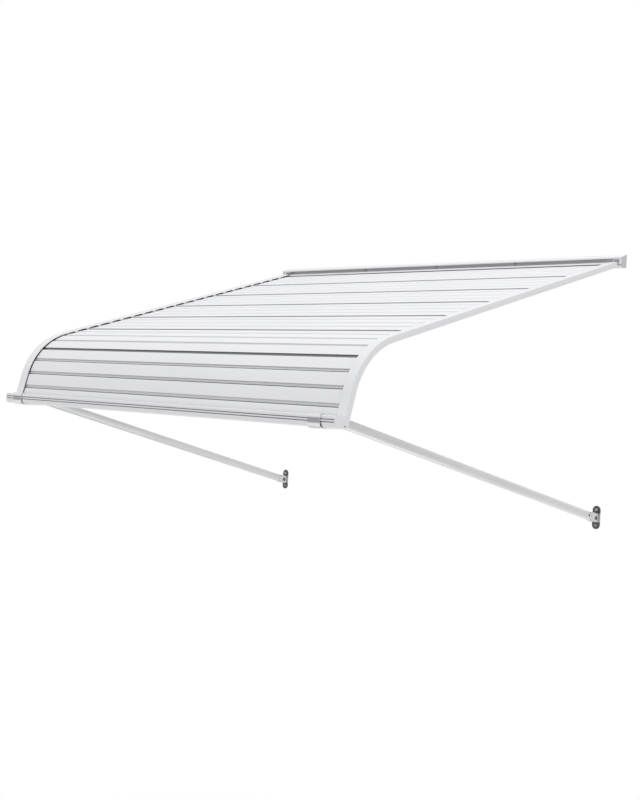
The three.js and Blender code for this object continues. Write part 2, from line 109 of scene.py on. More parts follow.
# How much shade is painted into the seams, and onto the faces under and beside the rails' lips
SEAM_SHADE = 0.26
SEAM_SHADE_HIGH = 0.42
SEAM_SHADE_LOW = 1.0
SEAM_SHADE_REACH = 1.6
SEAM_LINE = 2.0
SEAM_LINE_FADE = 0.6
ROOF_SEAM_SHARE = 0.35
LAST_SEAM_SHARE = 0.85
JOINT_SHADE = 0.7
RISER_SHADE = 0.95
ROOF_JOINT_SHARE = 0.6
SHELF_SHADE = 0.5
# Painted shadow on the slats' faces beside the rails' lips: its reach, fade and end
SIDE_REACH_UPPER = 15.0
SIDE_REACH_LOWER = 7.0
SIDE_FADE = 2.0
SIDE_END = 9.0
FRONT_SIDE_REACH = 3.0

# Side rails
HALF_WIDTH = node_box("side_rail_right")[1][0]
RAIL_WEB = 2.0
RAIL_SHEET = 1.5
RAIL_EASE = 0.9
RAIL_LIP_WIDTH = 31.0
RAIL_LIP_RISE = 5.5
RAIL_LIP_LOW = 4.4
RAIL_LIP_EDGE = HALF_WIDTH - RAIL_LIP_WIDTH
RAIL_FLOOR_WIDTH = 22.0
RAIL_FLOOR_TOP = -9.0
RAIL_HEAD = 12.5
RAIL_TAIL = 1.5
RAIL_STEP = 3.0
# Painted shade on the rail's inner faces under its lip
RAIL_INSIDE_SHADE = 0.95
CRIMP_LENGTH = 14.0
CRIMP_BOTTOM = -2.4
CRIMP_EASE = 3.0
CRIMP_COUNT = 21
HEM_BOTTOM = 3.2
HEM_BOTTOM_FRONT = 1.9
# A painted dark line along the left rail's outer edge, for the shade at its rounded edge
EDGE_SHADE = 0.6
EDGE_SHADE_REACH = 9.0

# Header rail and hinge rail
(_, HEADER_FRONT, HEADER_BOTTOM), (HEADER_HALF, _, HEADER_TOP) = node_box("header_rail")
HEADER_SHEET = 2.5
HEADER_EASE = 0.8
HEADER_LIP = 4.0
HEADER_TOP_FALL = 9.0
HEADER_LIP_TOP = HEADER_TOP - HEADER_TOP_FALL
HEADER_LIP_BOTTOM = HEADER_LIP_TOP - HEADER_LIP
HEADER_CAP_END = node_box("header_cap_right")[1][0]
HEADER_CAP_PLUG = 30.0
HEADER_CAP_BLOCK = 10.0
MOUTH_EASE = 0.6
# Painted shade inside the header's mouth, less of it over the last stretch at the right end, and on the end
# caps
MOUTH_SHADE = 0.2
MOUTH_END = 655.0
MOUTH_END_SHARE = 0.1
CAP_SHADE = 0.32
CAP_EASE = 2.0
CAP_EDGE = 0.6
HINGE_AXIS = np.array([-13.5, -10.5])
HINGE_EASE = 0.6
HINGE_NOSE = 7.0
BEAD_RADIUS = 5.0
TROUGH_RADIUS = 5.5
TROUGH_OUTER = 8.5
TROUGH_TIP = -165.0
NECK_THICKNESS = 3.0
NOSE_RISE = 3.6
NOSE_LEAN = 2.5
NOSE_CHAMFER = 1.0
NOSE_EDGE_DROP = 0.3
# Painted shade in the open joint between the hinge rail's nose and the first slat: where it starts, and its
# extra share
NOSE_SHADE_DROP = 0.6
NOSE_JOINT_SHARE = 1.4

# Front bar
(_, BAR_FRONT, BAR_BOTTOM), (BAR_HALF, _, BAR_TOP) = node_box("front_bar")
BAR_EASE = 0.4
BAR_TOP_RADIUS = 2.0
BAR_BOTTOM_RADIUS = 9.0
BAR_BEND = (BAR_FRONT + BAR_BOTTOM_RADIUS, BAR_BOTTOM + BAR_BOTTOM_RADIUS)
BAR_GROOVE_DROPS = (7.5, 13.5)
BAR_GROOVE_HEIGHT = 2.4
BAR_GROOVE_DEPTH = 1.2
# Painted shade in the front bar's grooves
BAR_GROOVE_SHADE = 0.8
BAR_SILL_REACH = 5.0
BAR_DOME_DEPTH = 2.0
BAR_DOME_SHARE = 0.1

# Arm clips
CLIP_WIDTH = 41.0
CLIP_SHEET = 3.0
CLIP_EASE = 1.2
CLIP_EDGE = 0.4
CLIP_HOOK = 10.0
EAR_RADIUS = 11.0
EAR_INNER = 7.0
EAR_OUTER = 10.0
# A band of the clip's front painted dark, for the shade and dark reflection seen there
CLIP_SHADE_FROM = 7.5
CLIP_SHADE_TO = 23.5
CLIP_SHADE_FADE = 2.5
# Painted shadow on the bar beside each clip's edge: how far it reaches, its fade and its darkness
CLIP_SIDE_REACH = 3.0
CLIP_SIDE_FADE = 0.5
CLIP_SIDE_SHADE = 0.5
CLIP_SIDE_SHADE_LOW = 0.85

# Arms and brackets
TUBE_RADIUS = 12.7
TUBE_WALL = 1.5
TUBE_EASE = 0.5
PLUG_LENGTH = 22.0
PLUG_RADIUS = TUBE_RADIUS - TUBE_WALL - CLEARANCE
COLLAR_LENGTH = 6.0
TANG_HALF = 6.5
TANG_LENGTH = 20.0
FORK_RADIUS = 12.5
FORK_LENGTH = 20.0
FORK_BRIDGE = 4.0
FORK_EASE = 0.8
CHEEK_INNER = 4.3
CHEEK_OUTER = 10.3
PLATE_WIDTH = 25.4
PLATE_HEIGHT = 67.0
PLATE_THICKNESS = 4.0
PLATE_EDGE = 0.9
LUG_RADIUS = 10.0
LUG_HALF = 4.0
WORN_HALF = 14.0
WORN_FADE_FROM = 0.8

# Fasteners
PIN_RADIUS = 3.0
PIN_HEAD_RADIUS = 6.0
PIN_HEAD_HEIGHT = 3.0
HOLE_RADIUS = 3.3
EYE_EDGE = 0.6
SCREW_RADIUS = 2.1
SCREW_HEAD_RADIUS = 4.5
# Painted shade on the screw heads, the most on the lower bracket screws
SCREW_SHADE = 0.6
LOWER_SCREW_SHADE = 1.0
RAIL_SCREW_LENGTH = 9.0
RAIL_SCREW_HEAD = 2.0
RECESS_DEPTH = 1.3
RECESS_HALF = 0.75
RECESS_SLOPE = 0.3
RECESS_REACH = 2.7
RECESS_FADE = 0.6
RIVET_RADIUS = 3.4
RIVET_RISE = 1.1
RIVET_PLACE = 38.0

# Directions that a shell's own X, Y and Z are turned to
UPRIGHT = np.eye(3)
ALONG_X = ((0, 1, 0), (0, 0, 1), (1, 0, 0))
OUT_OF_WALL = ((0, -1, 0), (1, 0, 0), (0, 0, 1))
INTO_WALL = ((1, 0, 0), (0, 0, -1), (0, 1, 0))

# Pairs of linear colours that a finish drifts between, and the range in which most of the noise lies
WHITE_PAINT = ((0.842, 0.847, 0.866), (0.868, 0.872, 0.888))
SILVER_PAINT = ((0.62, 0.622, 0.63), (0.68, 0.682, 0.688))
BRIGHT_ZINC = ((0.72, 0.72, 0.73), (0.8, 0.8, 0.81))
# Zinc where shade is painted
SHADED_ZINC = ((0.3, 0.3, 0.31), (0.36, 0.36, 0.37))
# Base colours painted dark for the dark reflections of the shiny pins, rivets and bracket plates
PIN_DARK_REFLECTION = ((0.10, 0.10, 0.105), (0.16, 0.16, 0.165))
PLATE_DARK_REFLECTION = ((0.09, 0.09, 0.095), (0.13, 0.13, 0.135))
RUBBED_ZINC = ((0.42, 0.42, 0.43), (0.5, 0.5, 0.51))
FLOOR_GREY = ((0.8, 0.8, 0.8), (0.83, 0.83, 0.83))
# The near-black that painted shade darkens a colour towards
PAINTED_SHADE_COLOUR = (0.045, 0.045, 0.048)
NOISE_LOW = 0.3
NOISE_HIGH = 0.7
SHARP_ANGLE = np.radians(40)

# Camera, lights and floor, in metres, degrees and pixels of the image
CAMERA_PLACE = (2.7087, -3.1962, -0.4239)
CAMERA_AZIMUTH = 45.09
CAMERA_ELEVATION = 0.23
CAMERA_ROLL = 3.16
FOCAL_PIXELS = 1300
IMAGE_HEIGHT = 800
SENSOR_WIDTH = 36
LAMP_TARGET = np.array([0, -0.55, -0.25])
WORLD_LIGHT = 0.7
FLOOR_MIDDLE = np.array([-0.2, -0.5, -2.2])
FLOOR_HALF = 2.2
FLOOR_FADE_FROM = 0.7
FLOOR_FADE_TO = 1.8


class Shell:
    """A closed surface: its points, its faces and how much shade is painted at each point."""

    def __init__(self, points, faces, painted_shade=0.0):
        self.points = np.asarray(points, float)
        self.faces = faces
        self.painted_shade = np.broadcast_to(np.asarray(painted_shade, float), len(self.points))

    def placed(self, axes, place):
        """The same surface with each point p at place + p_x X + p_y Y + p_z Z, for three given axes."""
        return Shell(self.points @ np.asarray(axes, float) + place, self.faces, self.painted_shade)


def joined(*shells):
    """One shell of several, whose faces count on from those before."""
    starts = np.cumsum([0] + [len(shell.points) for shell in shells])
    faces = [
        [corner + int(start) for corner in face]
        for shell, start in zip(shells, starts)
        for face in shell.faces
    ]
    points = np.concatenate([shell.points for shell in shells])
    return Shell(points, faces, np.concatenate([shell.painted_shade for shell in shells]))


def grid_faces(rows, columns, wrap_rows=False):
    """Quads of a grid of points: each row closes on itself, and so do the rows where they wrap."""
    row = np.arange(rows if wrap_rows else rows - 1)[:, None]
    column = np.arange(columns)[None, :]
    below = (row + 1) % rows * columns
    beside = (column + 1) % columns
    corners = (row * columns + column, row * columns + beside, below + beside, below + column)
    return np.stack(np.broadcast_arrays(*corners), -1).reshape(-1, 4).tolist()


def filled(grid, painted_shade):
    """A solid from rows of points: neighbouring rows are joined, and the first and last rows are filled."""
    rows, columns = grid.shape[:2]
    ends = np.arange(rows * columns).reshape(rows, columns)[[0, -1]].tolist()
    return Shell(grid.reshape(-1, 3), grid_faces(rows, columns) + ends, painted_shade)


def arc(centre, radius, start, end, steps=12):
    """Points centre + radius (cos a, sin a), with a in even steps between two angles in degrees."""
    angle = np.radians(np.linspace(start, end, steps + 1))
    return np.asarray(centre) + radius * np.stack([np.cos(angle), np.sin(angle)], -1)


def dome(radius, height, steps=8):
    """Half an ellipse as (r, z), from its pole to its rim: r = R sin t and z = H cos t."""
    t = np.linspace(0, np.pi / 2, steps + 1)
    return np.stack([radius * np.sin(t), height * np.cos(t)], -1)


def with_painted_shade(points, level=0.0):
    """The same points with one more column, an even level of painted shade."""
    return np.column_stack([points, np.full(len(points), level)])


def eased(points, radius, steps=3, longest=0.45):
    """A closed outline, with all its columns, whose corners are round: a corner C gives way to
    (1-t)^2 A + 2t(1-t) C + t^2 B, where A and B lie on its edges at the radius from C, or at the longest
    share of a short edge."""
    corner = np.asarray(points, float)
    ends = []
    for turn in (1, -1):
        edge = np.roll(corner, turn, axis=0) - corner
        length = np.linalg.norm(edge[:, :2], axis=1)
        share = np.minimum(radius, longest * length) / length
        ends.append((corner + edge * share[:, None])[:, None])
    t = np.linspace(0, 1, steps + 1)[None, :, None]
    curve = (1 - t) ** 2 * ends[0] + 2 * t * (1 - t) * corner[:, None] + t ** 2 * ends[1]
    return curve.reshape(-1, corner.shape[1])


def refined(outline):
    """The same closed outline with more points: those it has, and others at even lengths round it."""
    loop = np.concatenate([outline, outline[:1]])
    length = np.concatenate([[0.0], np.cumsum(np.linalg.norm(np.diff(loop[:, :2], axis=0), axis=1))])
    places = np.unique(np.concatenate([length[:-1], np.arange(0, length[-1], SECTION_STEP)]))
    return np.stack([np.interp(places, length, column) for column in loop.T], -1)


def shrunk(outline, inset):
    """An outline moved inwards against each point's normal, square to the chord of its neighbours."""
    following = np.roll(outline, -1, axis=0)
    chord = following - np.roll(outline, 1, axis=0)
    area = np.sum(outline[:, 0] * following[:, 1] - outline[:, 1] * following[:, 0])
    normal = np.stack([chord[:, 1], -chord[:, 0]], -1) * np.sign(area)
    return outline - inset * normal / np.linalg.norm(normal, axis=1, keepdims=True)


def carried(sections, places, painted_shade=0.0):
    """A section of (y, z) points, or one for each place, carried along X: its points are (place, y, z)."""
    shape = (len(places), np.shape(sections)[-2])
    across = np.broadcast_to(np.asarray(places, float)[:, None], shape)
    flat = np.broadcast_to(sections, (*shape, 2))
    grid = np.concatenate([across[..., None], flat], -1)
    return filled(grid, np.broadcast_to(painted_shade, shape).ravel())


def extruded(outline, *ends, edge=0.0, end_share=1.0):
    """An outline in y and z carried along X between two ends. Both may have a chamfer, where the outline
    shrinks by its width. A third column of the outline is painted shade, of which the end faces keep a share."""
    first, last = sorted(ends)
    flat = outline[:, :2]
    painted_shade = outline[:, 2] if outline.shape[1] > 2 else 0.0
    if not edge:
        return carried(flat, [first, last], painted_shade)
    small = shrunk(flat, edge)
    places = [first, first + edge, last - edge, last]
    return carried([small, flat, flat, small], places, np.outer([end_share, 1, 1, end_share], painted_shade))


def full_turn(sides):
    """Even angles once round."""
    return np.linspace(0, 2 * np.pi, sides, endpoint=False)


def around(radius, angle, height):
    """Points about Z: x = r cos a and y = r sin a, at their heights."""
    return np.stack(np.broadcast_arrays(radius * np.cos(angle), radius * np.sin(angle), height), -1)


def turned(profile, sides, lift=None):
    """A profile of (r, z) points turned about Z, with a pole where it starts and where it ends. A lift of
    (r, a) raises the first pole and the rings before the widest one."""
    profile = np.asarray(profile, float)
    angle = full_turn(sides)
    radius, height = profile[1:-1, :1], profile[1:-1, 1:]
    poles = np.array([[0, 0, profile[0, 1]], [0, 0, profile[-1, 1]]])
    if lift:
        before_widest = np.arange(len(radius))[:, None] < np.argmax(radius)
        height = height + np.where(before_widest, lift(radius, angle), 0.0)
        poles[0, 2] += lift(0.0, 0.0)
    rings = around(radius, angle, height)
    rows = len(rings)
    column = np.arange(sides)
    beside = (column + 1) % sides
    pole = np.full(sides, rows * sides)
    last = (rows - 1) * sides
    fans = [np.stack([pole, beside, column], -1), np.stack([pole + 1, last + column, last + beside], -1)]
    faces = grid_faces(rows, sides) + np.concatenate(fans).tolist()
    return Shell(np.concatenate([rings.reshape(-1, 3), poles]), faces)


def ring(radius, height, sides):
    """A closed loop off the axis carried once round Z. The radius of a point may change with the angle."""
    grid = around(radius, full_turn(sides)[:, None], height)
    return Shell(grid.reshape(-1, 3), grid_faces(*grid.shape[:2], wrap_rows=True))


def eye_plate(reach, from_x, to_x, sides=96):
    """A plate square to X with a round hole: at angle a its rim is reach(a) from the hole's centre. It is a
    ring whose loop goes over the rim and back through the hole, with chamfers."""
    inset = EYE_EDGE * np.array([1, 0, 0, 1])
    rim = reach(full_turn(sides))[:, None] - inset
    hole = np.broadcast_to(HOLE_RADIUS + inset / 2, rim.shape)
    over = [from_x, from_x + EYE_EDGE, to_x - EYE_EDGE, to_x]
    return ring(np.hstack([rim, hole]), [*over, *over[::-1]], sides).placed(ALONG_X, (0, 0, 0))


def eye_pair(reach, inner, outer):
    """Two eye plates, one on each side of the middle, between an inner and an outer distance from it."""
    return joined(eye_plate(reach, -outer, -inner), eye_plate(reach, inner, outer))


def round_end(radius, foot, foot_below, smallest=1e-6):
    """Rim of a plate with a round end and a straight foot: the radius on the round side of the centre, and
    on the other the nearer of the two sides, radius / |cos a|, and the foot, foot / |sin a|."""

    def reach(angle):
        across = radius / np.maximum(np.abs(np.cos(angle)), smallest)
        along = foot / np.maximum(np.abs(np.sin(angle)), smallest)
        on_foot_side = np.sin(angle) < 0 if foot_below else np.sin(angle) > 0
        return np.where(on_foot_side, np.minimum(across, along), radius)

    return reach


def sloped(origin, tilt, u, v):
    """Point (y, z) at length u down a slope and height v over it: origin + u (-cos, -sin) + v (-sin, cos)
    of the tilt. From the origin (0, 0) it also turns (y, z) back into (u, v)."""
    y = origin[0] - u * np.cos(tilt) - v * np.sin(tilt)
    z = origin[1] - u * np.sin(tilt) + v * np.cos(tilt)
    return np.stack([y, z], -1)


def on_slope(outline, origin, tilt):
    """An outline of (u, v, grime) on a slope, as (y, z, grime)."""
    u, v, painted_shade = outline.T
    return np.column_stack([sloped(origin, tilt, u, v), painted_shade])


def roof_point(s, v=0.0):
    """Point (y, z) at length s down the roof line and height v over it: the straight run, then the arc
    R (sin a - sin a0, cos a0 - cos a), whose angle grows with s, and then the straight front."""
    angle = ROOF_TILT + np.clip((s - STRAIGHT_LENGTH) / BEND_RADIUS, 0, FRONT_TILT - ROOF_TILT)
    before = np.minimum(s, STRAIGHT_LENGTH)
    after = np.maximum(s - STRAIGHT_LENGTH - BEND_LENGTH, 0)
    bent_out = BEND_RADIUS * (np.sin(angle) - np.sin(ROOF_TILT))
    bent_down = BEND_RADIUS * (np.cos(ROOF_TILT) - np.cos(angle))
    out = FIRST_SEAM_OUT + before * np.cos(ROOF_TILT) + bent_out + after * np.cos(FRONT_TILT)
    down = FIRST_SEAM_DROP + before * np.sin(ROOF_TILT) + bent_down + after * np.sin(FRONT_TILT)
    return sloped((-out, -down), angle, 0, v)


class Nodes:
    """Shader nodes of a material or a world. Patterns read Object coordinates."""

    def __init__(self, owner):
        owner.use_nodes = True
        self.owner = owner
        self.tree = owner.node_tree

    def put(self, value, socket):
        """Links a socket to another node's output, or sets it to a value."""
        if isinstance(value, bpy.types.NodeSocket):
            self.tree.links.new(value, socket)
        else:
            socket.default_value = value

    def fill(self, node, *values, **named):
        """Fills a node's sockets, first in their order and then by name. Gives the node."""
        for value, socket in zip(values, node.inputs):
            self.put(value, socket)
        for name, value in named.items():
            self.put(value, node.inputs[name.replace("_", " ")])
        return node

    def add(self, kind, *values, **named):
        """A new node of a kind, with its sockets filled."""
        return self.fill(self.tree.nodes.new(f"ShaderNode{kind}"), *values, **named)

    def worked_out(self, kind, operation, *values):
        """What one operation makes of its values."""
        node = self.add(kind, *values)
        node.operation = operation
        return node.outputs["Value"]

    def mapped(self, value, from_min, from_max, to_min=0.0, to_max=1.0, smooth=False):
        """A number that runs between two ends as the value runs between two others, and stops there."""
        node = self.add("MapRange", value, from_min, from_max, to_min, to_max)
        node.interpolation_type = "SMOOTHSTEP" if smooth else "LINEAR"
        return node.outputs["Result"]

    def place(self):
        """Object coordinates."""
        return self.add("TexCoord").outputs["Object"]

    def noise(self, scale, detail=3.0, stretch=(1, 1, 1)):
        """Noise on Object coordinates, stretched along the axes."""
        mapping = self.add("Mapping", Vector=self.place(), Scale=stretch)
        node = self.add("TexNoise", Vector=mapping.outputs["Vector"], Scale=scale, Detail=detail)
        return node.outputs["Fac"]

    def drift(self, low, high, **pattern):
        """A number that drifts between low and high with noise."""
        return self.mapped(self.noise(**pattern), NOISE_LOW, NOISE_HIGH, low, high)

    def painted_shade(self):
        """How much shade is painted at a point."""
        node = self.add("Attribute")
        node.attribute_name = "painted_shade"
        return node.outputs["Fac"]

    def blend(self, share, first, second):
        """A colour between two, each three numbers or another node's output."""
        node = self.add("Mix")
        node.data_type = "RGBA"
        self.fill(node, share)
        for colour, socket in zip((first, second), node.inputs[6:8]):
            self.put((*colour, 1) if isinstance(colour, tuple) else colour, socket)
        return node.outputs[2]

    def painted(self, colour, roughness, relief, strength, distance, **values):
        """The material, with colour, roughness, a bump and even values in its shader's own sockets."""
        bump = self.add("Bump", Height=relief, Strength=strength, Distance=distance).outputs["Normal"]
        shader = self.tree.nodes["Principled BSDF"]
        self.fill(shader, Base_Color=colour, Roughness=roughness, Normal=bump, **values)
        return self.owner

    def seen_directly(self):
        """1 for what the camera sees, also in a mirror or through glass, and 0 for what only gives light."""
        path = self.add("LightPath").outputs
        seen = path["Is Camera Ray"]
        for name in ("Is Glossy Ray", "Is Transmission Ray"):
            seen = self.worked_out("Math", "MAXIMUM", seen, path[name])
        return seen


def new_finish(name):
    """The nodes of a new material."""
    return Nodes(bpy.data.materials.new(name))


def white_enamel():
    """Baked white enamel: a faint drift of tone, fine orange peel, and painted shade in seams and recesses.
    """
    made = new_finish("white_enamel")
    paint = made.blend(made.drift(0, 1, scale=3.0), *WHITE_PAINT)
    colour = made.blend(made.painted_shade(), paint, PAINTED_SHADE_COLOUR)
    roughness = made.drift(low=0.36, high=0.44, scale=40.0)
    return made.painted(colour, roughness, made.noise(scale=420.0), strength=0.06, distance=0.0004)


def arm_enamel():
    """Silver grey enamel under a clear coat, with a fine metallic grain drawn out along the arms."""
    made = new_finish("arm_enamel")
    colour = made.blend(made.drift(0, 1, scale=60.0, stretch=(1, 0.1, 0.3)), *SILVER_PAINT)
    roughness = made.drift(low=0.3, high=0.38, scale=30.0)
    return made.painted(colour, roughness, made.noise(scale=700.0), strength=0.04, distance=0.0003,
                        Metallic=0.1, Coat_Weight=1.0, Coat_Roughness=0.08)


def bright_zinc():
    """Bright zinc plate: fine brush lines along X and faint clouding, darkened where shade is painted."""
    made = new_finish("bright_zinc")
    lines = made.drift(0, 1, scale=500.0, stretch=(0.06, 1, 1))
    colour = made.blend(made.painted_shade(), made.blend(lines, *BRIGHT_ZINC), made.blend(lines, *SHADED_ZINC))
    roughness = made.drift(low=0.26, high=0.38, scale=90.0)
    return made.painted(colour, roughness, lines, strength=0.05, distance=0.0002, Metallic=1.0)


def zinc_with_dark_reflection(name, tones, rubbed_level=None):
    """Dull zinc plate whose base colour is painted dark, standing in for the dark reflections of shiny metal:
    spangle in patches of tone and roughness. Where a fork has rubbed it, it is bright: as far as |z - level|
    is within the worn height, with a soft edge."""
    made = new_finish(name)
    spangle = made.drift(0, 1, scale=220.0, detail=1.0)
    colour = made.blend(spangle, *tones)
    if rubbed_level is not None:
        height = made.add("SeparateXYZ", made.place()).outputs["Z"]
        worn = WORN_HALF * MM
        share = made.mapped(height, rubbed_level - worn, rubbed_level + worn, -1.0, 1.0)
        away = made.worked_out("Math", "ABSOLUTE", share)
        rubbed = made.mapped(away, WORN_FADE_FROM, 1.0, 1.0, 0.0)
        colour = made.blend(rubbed, colour, made.blend(spangle, *RUBBED_ZINC))
    roughness = made.drift(low=0.34, high=0.5, scale=140.0)
    relief = made.noise(scale=600.0)
    return made.painted(colour, roughness, relief, strength=0.08, distance=0.0003, Metallic=0.9)


# Each finish is a material and the record's slot for it
ENAMEL = (white_enamel(), "white_paint")
ARM_ENAMEL = (arm_enamel(), "arm_paint")
ZINC = (bright_zinc(), "bare_metal")
PIN_FINISH = (zinc_with_dark_reflection("zinc_with_dark_reflection", PIN_DARK_REFLECTION), "dark_metal")
PLATE_FINISH = (zinc_with_dark_reflection("worn_zinc_with_dark_reflection", PLATE_DARK_REFLECTION, node_middle("bracket_pin_right")[2] * MM), "dark_metal")


def add_piece(name, shell, body, finish, replaces=()):
    """Puts a shell into a mesh in metres, faces outwards, smooth but for its sharp edges, and on its body."""
    mesh = bpy.data.meshes.new(name)
    mesh.from_pydata((shell.points * MM).tolist(), [], shell.faces)
    work = bmesh.new()
    work.from_mesh(mesh)
    bmesh.ops.recalc_face_normals(work, faces=work.faces)
    work.to_mesh(mesh)
    work.free()
    mesh.attributes.new("painted_shade", "FLOAT", "POINT").data.foreach_set("value", shell.painted_shade)
    mesh.shade_smooth()
    mesh.set_sharp_from_angle(angle=SHARP_ANGLE)
    material, slot = finish
    mesh.materials.append(material)
    piece = bpy.data.objects.new(name, mesh)
    bpy.context.scene.collection.objects.link(piece)
    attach(piece, body)
    if replaces:
        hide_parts(*replaces)


def tongue_outline(face_end, opens, line, seam_share=1.0, joint_share=1.0, edge=JOINT_EDGE):
    """The tongue past the end of a face, from its underside round to the foot of its riser, as (u, v, shade).
    Shade is painted at both sides of the seam, darkest in a line at its lower one. Where the seam is an open
    joint, the tongue lies lower and the riser has painted shade up to its edge. Each kind has a share of it."""
    sink = JOINT_SINK if opens else 0.0
    middle = JOINT_SHADE * joint_share if opens else SEAM_SHADE * seam_share
    high = JOINT_SHADE * joint_share if opens else SEAM_SHADE_HIGH * seam_share
    low = SEAM_SHADE_LOW * seam_share
    seam_end = face_end + SEAM_WIDTH
    tip = seam_end + TONGUE_REACH
    floor = -SEAM_DEPTH - sink
    hook = min(TONGUE_BOTTOM - sink, HOOK_BOTTOM) - CLEARANCE
    outline = [
        (tip - SLAT_SHEET, TONGUE_BOTTOM - sink, 0),
        (tip - SLAT_SHEET, hook, 0),
        (tip, hook, 0),
        (tip, floor, 1),
        (seam_end, floor, low),
        (seam_end - line, floor, low),
        (seam_end - line - SEAM_LINE_FADE, floor, middle),
        (face_end + SEAM_SHADE_REACH, floor, middle),
        (face_end, floor, high),
    ]
    if opens:
        outline.append((face_end, -edge, min(1.0, RISER_SHADE * joint_share)))
    return outline


def slat_tongue(index, tilt):
    """The tongue of a slat, with its shares of painted shade; the last one is cut short, without its hook. In
    front, the seam's painted dark line is as much wider as the next slat's edge laps it: depth / tan(tilt)."""
    if index == SLAT_COUNT - 1:
        tip = SLAT_PITCH + TONGUE_REACH - LAST_SLAT_TRIM
        return [(tip, TONGUE_BOTTOM, 0), (tip, -SEAM_DEPTH, 1), (FACE_LENGTH, -SEAM_DEPTH, SEAM_SHADE)]
    opens = (index + 1) % PANEL_SLATS == 0
    lapped = (SEAM_DEPTH - FRONT_EDGE_DROP) / np.tan(tilt) if index >= ROOF_SLATS else SEAM_LINE_FADE
    shares = (ROOF_SEAM_SHARE, ROOF_JOINT_SHARE) if index <= ROOF_SLATS else (1.0, 1.0)
    if index == SLAT_COUNT - 2:
        shares = (LAST_SEAM_SHARE, 1.0)
    return tongue_outline(FACE_LENGTH, opens, SEAM_LINE + lapped, *shares)


def edge_shifts(index):
    """How far the upper and the lower edge of a slat's face lie above the roof line."""
    if index >= ROOF_SLATS:
        return -FRONT_EDGE_DROP, 0.0
    on_joint = index % PANEL_SLATS == 0
    over_joint = (index + 1) % PANEL_SLATS == 0
    upper = -JOINT_DROP if on_joint else LAP_RISE
    lower = 0.0 if over_joint else -LAP_FALL
    return (-FIRST_DROP if index == 0 else upper), lower


def slat_outline(index, tilt):
    """Section of a slat as (u, v, painted shade): a crowned face, the pocket under its upper edge, with shade
    painted into it, and the tongue at its lower one. The face gains crown (1 - (2u/face - 1)^2), and each
    edge moves by its shift times the square of the way that is left to it. Also tells which points lie on the
    outer side of the face."""
    in_front = index >= ROOF_SLATS
    ease = FRONT_EDGE_EASE if in_front else EDGE_EASE
    corners = [
        (0, 0, 0),
        (0, -SLAT_SHEET, 0 if in_front else 1),
        (POCKET_REACH, -SLAT_SHEET, 1),
        (POCKET_REACH, SHELF_TOP, 1),
        (SLAT_SHEET - SHELF_REACH, SHELF_TOP, 1),
        (SLAT_SHEET - SHELF_REACH, SHELF_TOP + SHELF_LIP, 1),
        (-SHELF_REACH, SHELF_TOP + SHELF_LIP, SHELF_SHADE),
        (-SHELF_REACH, SLAT_BOTTOM, 0),
        (POCKET_REACH + SLAT_SHEET, SLAT_BOTTOM, 0),
        (POCKET_REACH + SLAT_SHEET, -SLAT_SHEET, 0),
        (FACE_LENGTH - SLAT_SHEET, -SLAT_SHEET, 0),
        (FACE_LENGTH - SLAT_SHEET, TONGUE_BOTTOM, 0),
        *slat_tongue(index, tilt),
        (FACE_LENGTH, 0, 0),
        (FRONT_EDGE_EASE, 0, 0),
        (FRONT_EDGE_EASE / 2, 0, 0),
    ]
    outline = refined(eased(corners, SLAT_EASE))
    u, v = outline[:, 0], outline[:, 1]
    outer = v > -SLAT_SHEET / 2
    sheet = v > -SLAT_SHEET - SHEET_TOLERANCE
    crown = SLAT_CROWN * np.clip(1 - (2 * u / FACE_LENGTH - 1) ** 2, 0, None)
    upper, lower = edge_shifts(index)
    shift = upper * np.clip(1 - u / ease, 0, 1) ** 2
    shift = shift + lower * np.clip(1 - (FACE_LENGTH - u) / EDGE_EASE, 0, 1) ** 2
    outline[:, 1] = np.where(sheet, v + crown + shift, v)
    return outline, outer


def side_shade(index, u, x):
    """Painted shadow on a face: all over it under a rail's lip, and in a band that reaches some way inwards
    from the lip and then fades out. On the roof the band is on the left alone, narrows downwards and ends
    early."""
    inward = RAIL_LIP_EDGE - np.abs(x)
    reach = FRONT_SIDE_REACH
    if index < ROOF_SLATS:
        reach = SIDE_REACH_UPPER + (SIDE_REACH_LOWER - SIDE_REACH_UPPER) * np.clip(u / FACE_LENGTH, 0, 1)
        before_end = np.clip((FACE_LENGTH - SIDE_END - u) / SIDE_FADE, 0, 1)
        reach = np.where(x < 0, reach * before_end, 0.0)
    return np.clip((reach - inward) / SIDE_FADE, 0, 1)


def build_slats():
    """Each slat is its section carried along X, at more places beside the rails' lips, where shadow is
    painted.
    """
    inward = np.arange(-SIDE_FADE, SIDE_REACH_UPPER + SIDE_FADE, SIDE_FADE)
    right = [*(RAIL_LIP_EDGE - inward), SLAT_HALF_LENGTH]
    places = np.sort([*right, 0.0, *np.negative(right)])
    for index in range(SLAT_COUNT):
        upper, lower = roof_point(np.array([index, index + 1]) * SLAT_PITCH)
        tilt = np.arctan2(upper[1] - lower[1], upper[0] - lower[0])
        outline, outer = slat_outline(index, tilt)
        section = on_slope(outline, upper, tilt)
        beside = side_shade(index, outline[:, 0], places[:, None]) * outer
        shell = carried(section[:, :2], places, np.maximum(section[:, 2], beside))
        number = f"{index + 1:02d}"
        add_piece(f"slat_skin_{number}", shell, "canopy", ENAMEL, [f"slat_{number}"])


